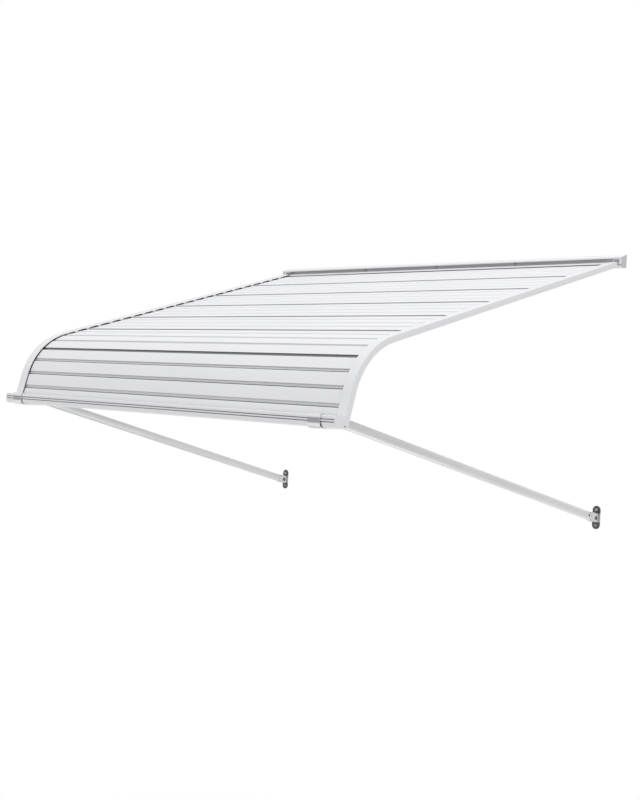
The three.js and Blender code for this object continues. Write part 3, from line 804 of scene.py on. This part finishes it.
def build_hinge_rail():
    """The rail is a section carried along X: the bead in the header's trough, an arc open at its neck, a
    nose over it and a tongue for the first slat."""
    seam = roof_point(0.0)
    bead = sloped((0, 0), ROOF_TILT, *(HINGE_AXIS - seam))
    face_end = -SEAM_WIDTH
    neck = (face_end - SLAT_SHEET, 0) - bead
    neck_angle = np.degrees(np.arctan2(neck[1], neck[0]))
    neck_half = np.degrees(np.arcsin(NECK_THICKNESS / 2 / BEAD_RADIUS))
    stiffener = face_end / 2
    tongue_bottom = TONGUE_BOTTOM - JOINT_SINK
    outline = [
        (face_end, -NOSE_EDGE_DROP, 0),
        (face_end - NOSE_LEAN, NOSE_RISE, 0),
        (face_end - HINGE_NOSE + NOSE_CHAMFER, NOSE_RISE, 0),
        (face_end - HINGE_NOSE, NOSE_RISE - NOSE_CHAMFER, 0),
        *with_painted_shade(arc(bead, BEAD_RADIUS, neck_angle + neck_half, neck_angle - neck_half + 360, steps=30)),
        (face_end - SLAT_SHEET, tongue_bottom, 0),
        (stiffener - SLAT_SHEET, tongue_bottom, 0),
        (stiffener - SLAT_SHEET, SLAT_BOTTOM, 0),
        (stiffener, SLAT_BOTTOM, 0),
        (stiffener, tongue_bottom, 0),
        *tongue_outline(face_end, True, SEAM_LINE, joint_share=NOSE_JOINT_SHARE, edge=NOSE_SHADE_DROP),
    ]
    section = on_slope(eased(outline, HINGE_EASE), seam, ROOF_TILT)
    shell = extruded(section, -SLAT_HALF_LENGTH, SLAT_HALF_LENGTH)
    add_piece("hinge_strip", shell, "canopy", ENAMEL, ["hinge_rail"])


def crimp_at(s):
    """How far the lip's hem is pressed into the seams: 1 in the middle of each seam on the straight roof, 0
    on the faces, with a short slope between."""
    from_middle = np.abs((s + SEAM_WIDTH / 2 + SLAT_PITCH / 2) % SLAT_PITCH - SLAT_PITCH / 2)
    pressed = np.clip((CRIMP_LENGTH / 2 - from_middle) / CRIMP_EASE, 0, 1)
    return np.where((s > 0) & (s < (CRIMP_COUNT + 0.5) * SLAT_PITCH), pressed, 0.0)


def build_side_rails():
    """A section of (x, v, hem, inside, edge) carried down the roof line: a web, a floor under the slats and
    a lip that leans down over them. The points marked hem go down into each seam where the lip is crimped.
    Those marked inside get painted shade, and on the left so do those marked edge, a painted dark line."""
    lip_bottom = RAIL_LIP_RISE - RAIL_SHEET
    floor_bottom = RAIL_FLOOR_TOP - RAIL_SHEET
    floor_edge = HALF_WIDTH - RAIL_FLOOR_WIDTH
    web_inside = HALF_WIDTH - RAIL_WEB
    lean = (RAIL_LIP_RISE - RAIL_LIP_LOW) / RAIL_LIP_WIDTH
    section = eased([
        (HALF_WIDTH, RAIL_LIP_RISE, 0, 0, EDGE_SHADE),
        (HALF_WIDTH, floor_bottom, 0, 0, 0),
        (floor_edge, floor_bottom, 0, 0, 0),
        (floor_edge, RAIL_FLOOR_TOP, 0, 0, 0),
        (web_inside, RAIL_FLOOR_TOP, 0, RAIL_INSIDE_SHADE, 0),
        (web_inside, lip_bottom, 0, RAIL_INSIDE_SHADE, 0),
        (RAIL_LIP_EDGE + RAIL_SHEET, HEM_BOTTOM, 1, RAIL_INSIDE_SHADE, 0),
        (RAIL_LIP_EDGE, HEM_BOTTOM, 1, 0, 0),
        (RAIL_LIP_EDGE, RAIL_LIP_LOW, 0, 0, 0),
        (HALF_WIDTH - EDGE_SHADE_REACH, RAIL_LIP_RISE - EDGE_SHADE_REACH * lean, 0, 0, 0),
    ], RAIL_EASE)
    rail_end = ROOF_END + TONGUE_REACH + RAIL_TAIL
    stations = np.linspace(-RAIL_HEAD, rail_end, int((rail_end + RAIL_HEAD) / RAIL_STEP))[:, None]
    x, v, hem, inside, edge = section.T
    on_straight = np.clip((STRAIGHT_LENGTH - stations) / SLAT_PITCH, 0, 1)
    pressed = (HEM_BOTTOM - CRIMP_BOTTOM) * crimp_at(stations)
    pressed = pressed + (HEM_BOTTOM - HEM_BOTTOM_FRONT) * (1 - on_straight)
    height = v - pressed * hem
    place = roof_point(stations, height)
    for side, name in SIDES:
        across = np.broadcast_to(side * x, height.shape)[..., None]
        painted_shade = np.broadcast_to(inside + (side < 0) * edge * on_straight, height.shape)
        shell = filled(np.concatenate([across, place], -1), painted_shade.ravel())
        add_piece(f"bent_rail_{name}", shell, "canopy", ENAMEL, [f"side_rail_{name}"])


def header_outline():
    """Section of the header rail as (y, z, painted shade): back plate, sloping top with a lip, and hinge
    trough.
    """
    lip_inside = HEADER_FRONT + HEADER_SHEET
    slope = HEADER_TOP_FALL / -HEADER_FRONT
    return [
        (0, HEADER_TOP, 0),
        (HEADER_FRONT, HEADER_LIP_TOP, 0),
        (HEADER_FRONT, HEADER_LIP_BOTTOM, 0),
        (lip_inside, HEADER_LIP_BOTTOM, MOUTH_SHADE),
        (lip_inside, HEADER_LIP_TOP - HEADER_SHEET, MOUTH_SHADE),
        (-HEADER_SHEET, HEADER_TOP - HEADER_SHEET - slope * HEADER_SHEET, MOUTH_SHADE),
        (-HEADER_SHEET, HINGE_AXIS[1], MOUTH_SHADE),
        *with_painted_shade(arc(HINGE_AXIS, TROUGH_RADIUS, 0, TROUGH_TIP), MOUTH_SHADE),
        *with_painted_shade(arc(HINGE_AXIS, TROUGH_OUTER, TROUGH_TIP, -90, steps=6)),
        (0, HEADER_BOTTOM, 0),
    ]


def mouth_outline(lowest):
    """Section of what fits in the header's mouth: four corners, from its roof down to a level."""
    gap = HEADER_SHEET + CLEARANCE
    back, front, highest = -gap, HEADER_FRONT + gap, HEADER_LIP_TOP - gap
    return eased([(back, lowest), (back, highest), (front, highest), (front, lowest)], MOUTH_EASE)


def build_header():
    """The rail is its section carried along X, with shade painted in its mouth, less near the right end.
    Each end cap is a plate and a plug in the mouth, both with painted shade, and a block that closes the
    mouth's last stretch."""
    rail = eased(header_outline(), HEADER_EASE)
    places = [-HEADER_HALF, MOUTH_END - HEADER_CAP_PLUG, MOUTH_END, HEADER_HALF]
    shares = [1, 1, MOUTH_END_SHARE, MOUTH_END_SHARE]
    shell = carried(rail[:, :2], places, np.outer(shares, rail[:, 2]))
    add_piece("wall_rail", shell, "header", ENAMEL, ["header_rail"])

    corners = [(0, HEADER_TOP), (HEADER_FRONT, HEADER_LIP_TOP)]
    corners += [*arc(HINGE_AXIS, TROUGH_OUTER, 180, 270), (0, HEADER_BOTTOM)]
    plate = with_painted_shade(eased(corners, CAP_EASE), CAP_SHADE)
    plug = with_painted_shade(mouth_outline(HEADER_LIP_BOTTOM - HEADER_LIP), MOUTH_SHADE)
    block = mouth_outline(HINGE_AXIS[1] + CLEARANCE)
    for side, name in SIDES:
        plug_start = side * (HEADER_HALF - HEADER_CAP_PLUG)
        plug_end = side * (HEADER_HALF - HEADER_CAP_BLOCK)
        cap = joined(
            extruded(plate, side * HEADER_HALF, side * HEADER_CAP_END, edge=CAP_EDGE),
            extruded(plug, plug_start, plug_end),
            extruded(block, plug_end, side * HEADER_HALF),
        )
        add_piece(f"rail_end_{name}", cap, "header", ENAMEL, [f"header_cap_{name}"])


def end_point(u, v):
    """A place at length u past the end of the roof line and height v over it."""
    return sloped(roof_point(ROOF_END), FRONT_TILT, u, v)


def end_line_at(z, v):
    """Where the line at height v over the end of the roof line meets a level."""
    end = roof_point(ROOF_END)
    return end_point((end[1] + v * np.cos(FRONT_TILT) - z) / np.sin(FRONT_TILT), v)


def bar_outline(groove_drops):
    """Section of the front bar as (y, z, painted shade): a flat grooved front with shade painted in its
    grooves, a round lower edge, and a back that leans against the rails' lips."""
    seat = RAIL_LIP_RISE + CLEARANCE
    sill = TONGUE_REACH + RAIL_TAIL + CLEARANCE
    sill_back = end_point(sill, -BAR_SILL_REACH)
    top_bend = (BAR_FRONT + BAR_TOP_RADIUS, BAR_TOP - BAR_TOP_RADIUS)
    grooves = [
        (BAR_FRONT + depth, BAR_TOP - drop - height, painted_shade)
        for drop in groove_drops
        for depth, height, painted_shade in (
            (0, 0, 0),
            (BAR_GROOVE_DEPTH, 0, BAR_GROOVE_SHADE),
            (BAR_GROOVE_DEPTH, BAR_GROOVE_HEIGHT, BAR_GROOVE_SHADE),
            (0, BAR_GROOVE_HEIGHT, 0),
        )
    ]
    return np.array([
        *with_painted_shade(arc(top_bend, BAR_TOP_RADIUS, 90, 180, steps=6)),
        *grooves,
        *with_painted_shade(arc(BAR_BEND, BAR_BOTTOM_RADIUS, 180, 270, steps=16)),
        (sill_back[0], BAR_BOTTOM, 0),
        (*sill_back, 0),
        (*end_point(sill, seat), 0),
        (*end_line_at(BAR_TOP, seat), 0),
    ])


def domed(outline, from_x, to_x, towards, steps=10):
    """An outline carried along X to a domed end. Over the last stretch it draws in towards a point, by a
    share that grows with 1 - cos t while x gains with sin t, for t up to a right angle."""
    t = np.linspace(0, np.pi / 2, steps + 1)
    scale = np.append(1.0, 1 - BAR_DOME_SHARE * (1 - np.cos(t)))[:, None, None]
    dome_places = to_x - np.sign(to_x - from_x) * BAR_DOME_DEPTH * (1 - np.sin(t))
    return carried(towards + (outline - towards) * scale, np.append(from_x, dome_places))


def build_front_bar():
    """The bar is its section carried along X, with a painted shadow beside the clips below its lower groove.
    The caps on its ends are domed towards a point at the upper back."""
    outline = eased(bar_outline(BAR_GROOVE_DROPS), BAR_EASE)
    z, painted_shade = outline[:, 1], outline[:, 2]
    on_bend = z < BAR_BOTTOM + BAR_BOTTOM_RADIUS
    below_grooves = z < BAR_TOP - BAR_GROOVE_DROPS[1]
    beside = np.where(on_bend, CLIP_SIDE_SHADE_LOW, CLIP_SIDE_SHADE) * below_grooves
    reach = CLIP_WIDTH / 2 + CLIP_SIDE_REACH
    around_clip = np.array([-reach - CLIP_SIDE_FADE, -reach, reach, reach + CLIP_SIDE_FADE])
    left, right = [node_middle(f"clip_pin_{name}")[0] + around_clip for _, name in SIDES]
    shares = [0, *(0, 1, 1, 0) * 2, 0]
    painted_shade = np.maximum(painted_shade, np.outer(shares, beside))
    bar = carried(outline[:, :2], [-BAR_HALF, *left, *right, BAR_HALF], painted_shade)
    add_piece("grooved_bar", bar, "canopy", ENAMEL, ["front_bar"])

    cap = eased(bar_outline([])[:, :2], CAP_EASE)
    towards = end_line_at(BAR_TOP - 2 * CAP_EASE, RAIL_LIP_RISE) - (2 * CAP_EASE, 0)
    for side, name in SIDES:
        shell = domed(cap, side * BAR_HALF, side * HALF_WIDTH, towards)
        add_piece(f"bar_end_{name}", shell, "canopy", ENAMEL, [f"bar_cap_{name}"])


def pin_shell(half_width):
    """A pin about Z with a domed head at each end: its profile, and then its mirror image below."""
    inner = half_width + CLEARANCE
    half = np.array([*(dome(PIN_HEAD_RADIUS, PIN_HEAD_HEIGHT) + (0, inner)), (PIN_RADIUS, inner)])
    return turned(np.concatenate([half, half[::-1] * (1, -1)]), sides=32)


def clip_strap():
    """Section of the clip's strap as (y, z, painted shade): over the bar's top, down its front, round its
    lower edge and back under it. A band of its front is painted dark, for the shade and dark reflection
    there."""
    inner = CLEARANCE
    outer = CLEARANCE + CLIP_SHEET
    hook_end = BAR_FRONT + CLIP_HOOK
    back = node_middle("clip_pin_right")[1] + EAR_RADIUS
    outline = refined(eased([
        (hook_end, BAR_TOP + outer),
        (BAR_FRONT - outer, BAR_TOP + outer),
        *arc(BAR_BEND, BAR_BOTTOM_RADIUS + outer, 180, 270, steps=16),
        (back, BAR_BOTTOM - outer),
        (back, BAR_BOTTOM - inner),
        *arc(BAR_BEND, BAR_BOTTOM_RADIUS + inner, 270, 180, steps=16),
        (BAR_FRONT - inner, BAR_TOP + inner),
        (hook_end, BAR_TOP + inner),
    ], CLIP_EASE))
    y, z = outline.T
    drop = BAR_TOP + outer - z
    below_start = np.clip((drop - CLIP_SHADE_FROM) / CLIP_SHADE_FADE, 0, 1)
    above_end = np.clip((CLIP_SHADE_TO - drop) / CLIP_SHADE_FADE, 0, 1)
    return np.column_stack([outline, below_start * above_end * (y < BAR_FRONT)])


def build_clips():
    """Each clip is the strap's section carried along X over its width, and two ears under it: plates with a
    round end about the pin, whose foot reaches up into the strap."""
    for _, name in SIDES:
        pivot = node_middle(f"clip_pin_{name}")
        span = pivot[0] + np.array([-CLIP_WIDTH, CLIP_WIDTH]) / 2
        strap = extruded(clip_strap(), *span, edge=CLIP_EDGE, end_share=0.0)
        foot = pivot[2] - BAR_BOTTOM + CLEARANCE + CLIP_SHEET / 2
        ears = eye_pair(round_end(EAR_RADIUS, foot, foot_below=True), EAR_INNER, EAR_OUTER)
        clip = joined(strap, ears.placed(UPRIGHT, pivot))
        add_piece(f"bar_clip_{name}", clip, "canopy", ZINC, [f"arm_clip_{name}"])
        pin = pin_shell(EAR_OUTER).placed(ALONG_X, pivot)
        add_piece(f"clip_rivet_{name}", pin, "canopy", ZINC, [f"clip_pin_{name}"])


def arm_axes(lower, upper):
    """Axes of an arm: its hinge axis X, the direction across, and the direction up the arm in the hinge's
    plane; then those of its tube, which leans sideways within them."""
    across = np.array([1.0, 0.0, 0.0])
    run = (upper - lower) * (0, 1, 1)
    up = run / np.linalg.norm(run)
    hinge = np.array([across, np.cross(up, across), up])
    lean = (upper - lower) / np.linalg.norm(upper - lower)
    return hinge, np.array([np.cross(hinge[1], lean), hinge[1], lean])


def collar_shell(outer_end, shoulder, plug_end):
    """The round root of an arm's fitting, a profile turned about Z: as wide as the tube from its outer end
    to its shoulder, and then a plug that fits the tube."""
    return turned([
        (0, outer_end),
        (TUBE_RADIUS, outer_end),
        (TUBE_RADIUS, shoulder),
        (PLUG_RADIUS, shoulder),
        (PLUG_RADIUS, plug_end),
        (0, plug_end),
    ], sides=48)


def fork_shell():
    """The two cheeks of a fork, plates with a round end about the pin, and a bridge between them: an outline
    in the plane of the cheeks, carried along X."""
    foot = FORK_LENGTH + OVERLAP
    cheeks = eye_pair(round_end(FORK_RADIUS, foot, foot_below=False), CHEEK_INNER, CHEEK_OUTER)
    bridge = eased([
        (-FORK_RADIUS, FORK_LENGTH - FORK_BRIDGE),
        (FORK_RADIUS, FORK_LENGTH - FORK_BRIDGE),
        (FORK_RADIUS, foot),
        (-FORK_RADIUS, foot),
    ], FORK_EASE)
    return joined(cheeks, extruded(bridge, -CHEEK_INNER - OVERLAP, CHEEK_INNER + OVERLAP))


def rivet_shell():
    """A rivet about Z: a domed head and a short shank under it."""
    shank = [(RIVET_RADIUS, -RIVET_RISE), (0, -RIVET_RISE)]
    return turned(np.concatenate([dome(RIVET_RADIUS, RIVET_RISE), shank]), sides=24)


def build_arms():
    """Each arm is a tube, the section of its wall carried round its axis, with a fork at the wall and an eye
    at the other end: a plate with a round end about the clip's pin. Both have a collar, and a plug in the
    tube. A rivet sits on the tube's outer side."""
    for side, name in SIDES:
        body = f"{name}_arm"
        lower = node_middle(f"bracket_pin_{name}")
        upper = node_middle(f"clip_pin_{name}")
        hinge, tube = arm_axes(lower, upper)
        collar_top = np.linalg.norm(upper - lower) - TANG_LENGTH
        fork_shoulder = FORK_LENGTH + COLLAR_LENGTH
        eye_shoulder = collar_top - COLLAR_LENGTH
        start = fork_shoulder + CLEARANCE
        end = eye_shoulder - CLEARANCE

        inside = TUBE_RADIUS - TUBE_WALL
        wall = eased([(inside, start), (TUBE_RADIUS, start), (TUBE_RADIUS, end), (inside, end)], TUBE_EASE)
        pipe = ring(*wall.T, sides=48).placed(tube, lower)
        add_piece(f"arm_pipe_{name}", pipe, body, ARM_ENAMEL, [f"arm_tube_{name}"])

        fork_collar = collar_shell(FORK_LENGTH, fork_shoulder, start + PLUG_LENGTH)
        fork = joined(fork_shell().placed(hinge, lower), fork_collar.placed(tube, lower))
        add_piece(f"fork_end_{name}", fork, body, ARM_ENAMEL, [f"arm_fork_{name}"])
        pin = pin_shell(CHEEK_OUTER).placed(ALONG_X, (0, 0, 0)).placed(hinge, lower)
        add_piece(f"fork_rivet_{name}", pin, body, PIN_FINISH, [f"bracket_pin_{name}"])

        outwards = side * tube[0]
        rivet_axes = (tube[2], np.cross(outwards, tube[2]), outwards)
        rivet = rivet_shell().placed(rivet_axes, lower + RIVET_PLACE * tube[2] + TUBE_RADIUS * outwards)
        add_piece(f"arm_rivet_{name}", rivet, body, PIN_FINISH)

        tang_rim = round_end(EAR_RADIUS, TANG_LENGTH + OVERLAP, foot_below=True)
        tang = eye_plate(tang_rim, -TANG_HALF, TANG_HALF)
        eye_collar = collar_shell(collar_top, eye_shoulder, end - PLUG_LENGTH)
        eye = joined(tang.placed(hinge, upper), eye_collar.placed(tube, lower))
        add_piece(f"eye_end_{name}", eye, body, ARM_ENAMEL, [f"arm_eye_{name}"])


def build_brackets():
    """Each bracket is a plate, a stadium of two half circles carried out from the wall, and a lug on it: a
    plate with a round end about the pin."""
    half = PLATE_WIDTH / 2
    straight = PLATE_HEIGHT / 2 - half
    upper_arc = arc((0, straight), half, 0, 180, steps=24)
    lower_arc = arc((0, -straight), half, 180, 360, steps=24)
    plate = extruded(np.concatenate([upper_arc, lower_arc]), 0, PLATE_THICKNESS, edge=PLATE_EDGE)
    for _, name in SIDES:
        pivot = node_middle(f"bracket_pin_{name}")
        rim = round_end(LUG_RADIUS, -pivot[1] - PLATE_THICKNESS / 2, foot_below=False)
        lug = eye_plate(rim, -LUG_HALF, LUG_HALF).placed(INTO_WALL, pivot)
        bracket = joined(plate.placed(OUT_OF_WALL, pivot * (1, 0, 1)), lug)
        add_piece(f"wall_plate_{name}", bracket, f"{name}_bracket", PLATE_FINISH, [f"wall_bracket_{name}"])


def cross_recess(radius, angle):
    """Depth of a screw's cross: two bars at right angles with sloping sides, which fade out at a radius."""
    bar = np.minimum(np.abs(radius * np.cos(angle)), np.abs(radius * np.sin(angle)))
    inside = np.clip((RECESS_HALF - bar) / RECESS_SLOPE, 0, 1)
    return RECESS_DEPTH * inside * np.clip((RECESS_REACH - radius) / RECESS_FADE, 0, 1)


def screw_shell(head_height, length, painted_shade=SCREW_SHADE, steps=16):
    """A pan-head screw about Z: its head points to minus Z, z = -H sqrt(1 - (r/R)^3), with a cross let into
    it, and the shank runs up from z = 0."""
    share = np.linspace(0, 1, steps + 1)
    head = np.stack([SCREW_HEAD_RADIUS * share, -head_height * np.sqrt(1 - share ** 3)], -1)
    shank = [(SCREW_RADIUS, 0), (SCREW_RADIUS, length), (0, length)]
    shell = turned(np.concatenate([head, shank]), sides=48, lift=cross_recess)
    return Shell(shell.points, shell.faces, painted_shade)


def build_screws():
    """Each screw has its head on the sheet that it holds and its shank through it, square to the sheet."""
    bracket_screws = [
        (f"bracket_screw_{name}_{place}", f"{name}_bracket")
        for _, name in SIDES
        for place in ("upper", "lower")
    ]
    header_screws = [(f"header_screw_{number}", "header") for number in (1, 2, 3)]
    for node, body in header_screws + bracket_screws:
        x, _, z = node_middle(node)
        front = node_box(node)[0][1]
        seat = HEADER_SHEET if body == "header" else PLATE_THICKNESS
        # Shade is painted on each screw's head, the most on the lower bracket screws
        painted_shade = LOWER_SCREW_SHADE if node.endswith("lower") else SCREW_SHADE
        shell = screw_shell(-front - seat, seat, painted_shade).placed(INTO_WALL, (x, -seat, z))
        add_piece(node.replace("screw", "pan_screw"), shell, body, ZINC, [node])

    over = np.array([0, -np.sin(FRONT_TILT), np.cos(FRONT_TILT)])
    down = np.array([0, np.cos(FRONT_TILT), np.sin(FRONT_TILT)])
    for _, name in SIDES:
        node = f"rail_screw_{name}"
        seat = node_middle(node) - over * (RAIL_SCREW_LENGTH - RAIL_SCREW_HEAD) / 2
        shell = screw_shell(RAIL_SCREW_HEAD, RAIL_SCREW_LENGTH).placed(((1, 0, 0), down, over), seat)
        add_piece(f"rail_pan_screw_{name}", shell, "canopy", ZINC, [node])


def put_up(data, axes, place):
    """Puts a camera or a lamp at a place in the scene, turned to three axes."""
    matrix = np.eye(4)
    matrix[:3, :3] = np.transpose(axes)
    matrix[:3, 3] = place
    holder = bpy.data.objects.new(data.name, data)
    holder.matrix_world = Matrix(matrix.tolist())
    bpy.context.scene.collection.objects.link(holder)
    return holder


def place_camera():
    """The camera from its azimuth, height over the horizon and roll."""
    azimuth, elevation, roll = np.radians([CAMERA_AZIMUTH, CAMERA_ELEVATION, CAMERA_ROLL])
    outward = np.array([np.sin(azimuth), -np.cos(azimuth), 0.0])
    back = np.cos(elevation) * outward + np.sin(elevation) * np.array([0, 0, 1])
    level = np.array([np.cos(azimuth), np.sin(azimuth), 0.0])
    right = np.cos(roll) * level + np.sin(roll) * np.cross(back, level)
    data = bpy.data.cameras.new("camera")
    data.sensor_width = SENSOR_WIDTH
    data.lens = FOCAL_PIXELS * SENSOR_WIDTH / IMAGE_HEIGHT
    bpy.context.scene.camera = put_up(data, (right, np.cross(back, right), back), CAMERA_PLACE)


def light_world():
    """A white world that shows as white and lights the object a little less."""
    world = bpy.data.worlds.new("studio")
    bpy.context.scene.world = world
    nodes = Nodes(world)
    strength = nodes.mapped(nodes.seen_directly(), 0, 1, WORLD_LIGHT, 1)
    nodes.fill(nodes.tree.nodes["Background"], Color=(1, 1, 1, 1), Strength=strength)


def hang_lamp(name, toward, distance, size, power):
    """A soft square lamp in a direction from the middle of the object, facing it, and not seen itself."""
    data = bpy.data.lights.new(name, "AREA")
    data.shape = "SQUARE"
    data.size = size
    data.energy = power
    toward = np.array(toward) / np.linalg.norm(toward)
    level = np.cross((0, 0, 1), toward)
    level /= np.linalg.norm(level)
    lamp = put_up(data, (level, np.cross(toward, level), toward), LAMP_TARGET + distance * toward)
    lamp.visible_camera = False


def lay_floor():
    """A pale floor well below the awning: a flat square. Away from its middle it fades into the white around
    it, by a share that grows with the distance, and from below it is clear."""
    corners = FLOOR_MIDDLE + FLOOR_HALF * np.array([(-1, -1, 0), (1, -1, 0), (1, 1, 0), (-1, 1, 0)])
    mesh = bpy.data.meshes.new("floor")
    mesh.from_pydata(corners.tolist(), [], [(0, 1, 2, 3)])

    made = new_finish("pale_floor")
    colour = made.blend(made.drift(0, 1, scale=2.0), *FLOOR_GREY)
    roughness = made.drift(low=0.6, high=0.7, scale=12.0)
    made.painted(colour, roughness, made.noise(scale=80.0), strength=0.05, distance=0.001)
    mesh.materials.append(made.owner)

    away = made.worked_out("VectorMath", "DISTANCE", made.place(), FLOOR_MIDDLE)
    fade = made.mapped(away, FLOOR_FADE_FROM, FLOOR_FADE_TO, smooth=True)
    faded = made.worked_out("Math", "MULTIPLY", fade, made.seen_directly())
    white = made.add("Emission", Color=(1, 1, 1, 1), Strength=1.0)
    from_below = made.add("NewGeometry").outputs["Backfacing"]
    surface = made.tree.nodes["Principled BSDF"]
    for share, other in ((faded, white), (from_below, made.add("BsdfTransparent"))):
        surface = made.add("MixShader", share, surface.outputs[0], other.outputs[0])
    made.fill(made.tree.nodes["Material Output"], Surface=surface.outputs[0])

    floor = bpy.data.objects.new("floor", mesh)
    bpy.context.scene.collection.objects.link(floor)


bpy.context.scene.view_settings.view_transform = "Standard"
place_camera()
light_world()
hang_lamp("key", toward=(0.25, -0.25, 0.92), distance=4.5, size=3.0, power=72.0)
hang_lamp("bounce", toward=(0.3, 0.0, -1.0), distance=1.75, size=1.4, power=8.0)
lay_floor()
build_header()
build_hinge_rail()
build_slats()
build_side_rails()
build_front_bar()
build_clips()
build_arms()
build_brackets()
build_screws()
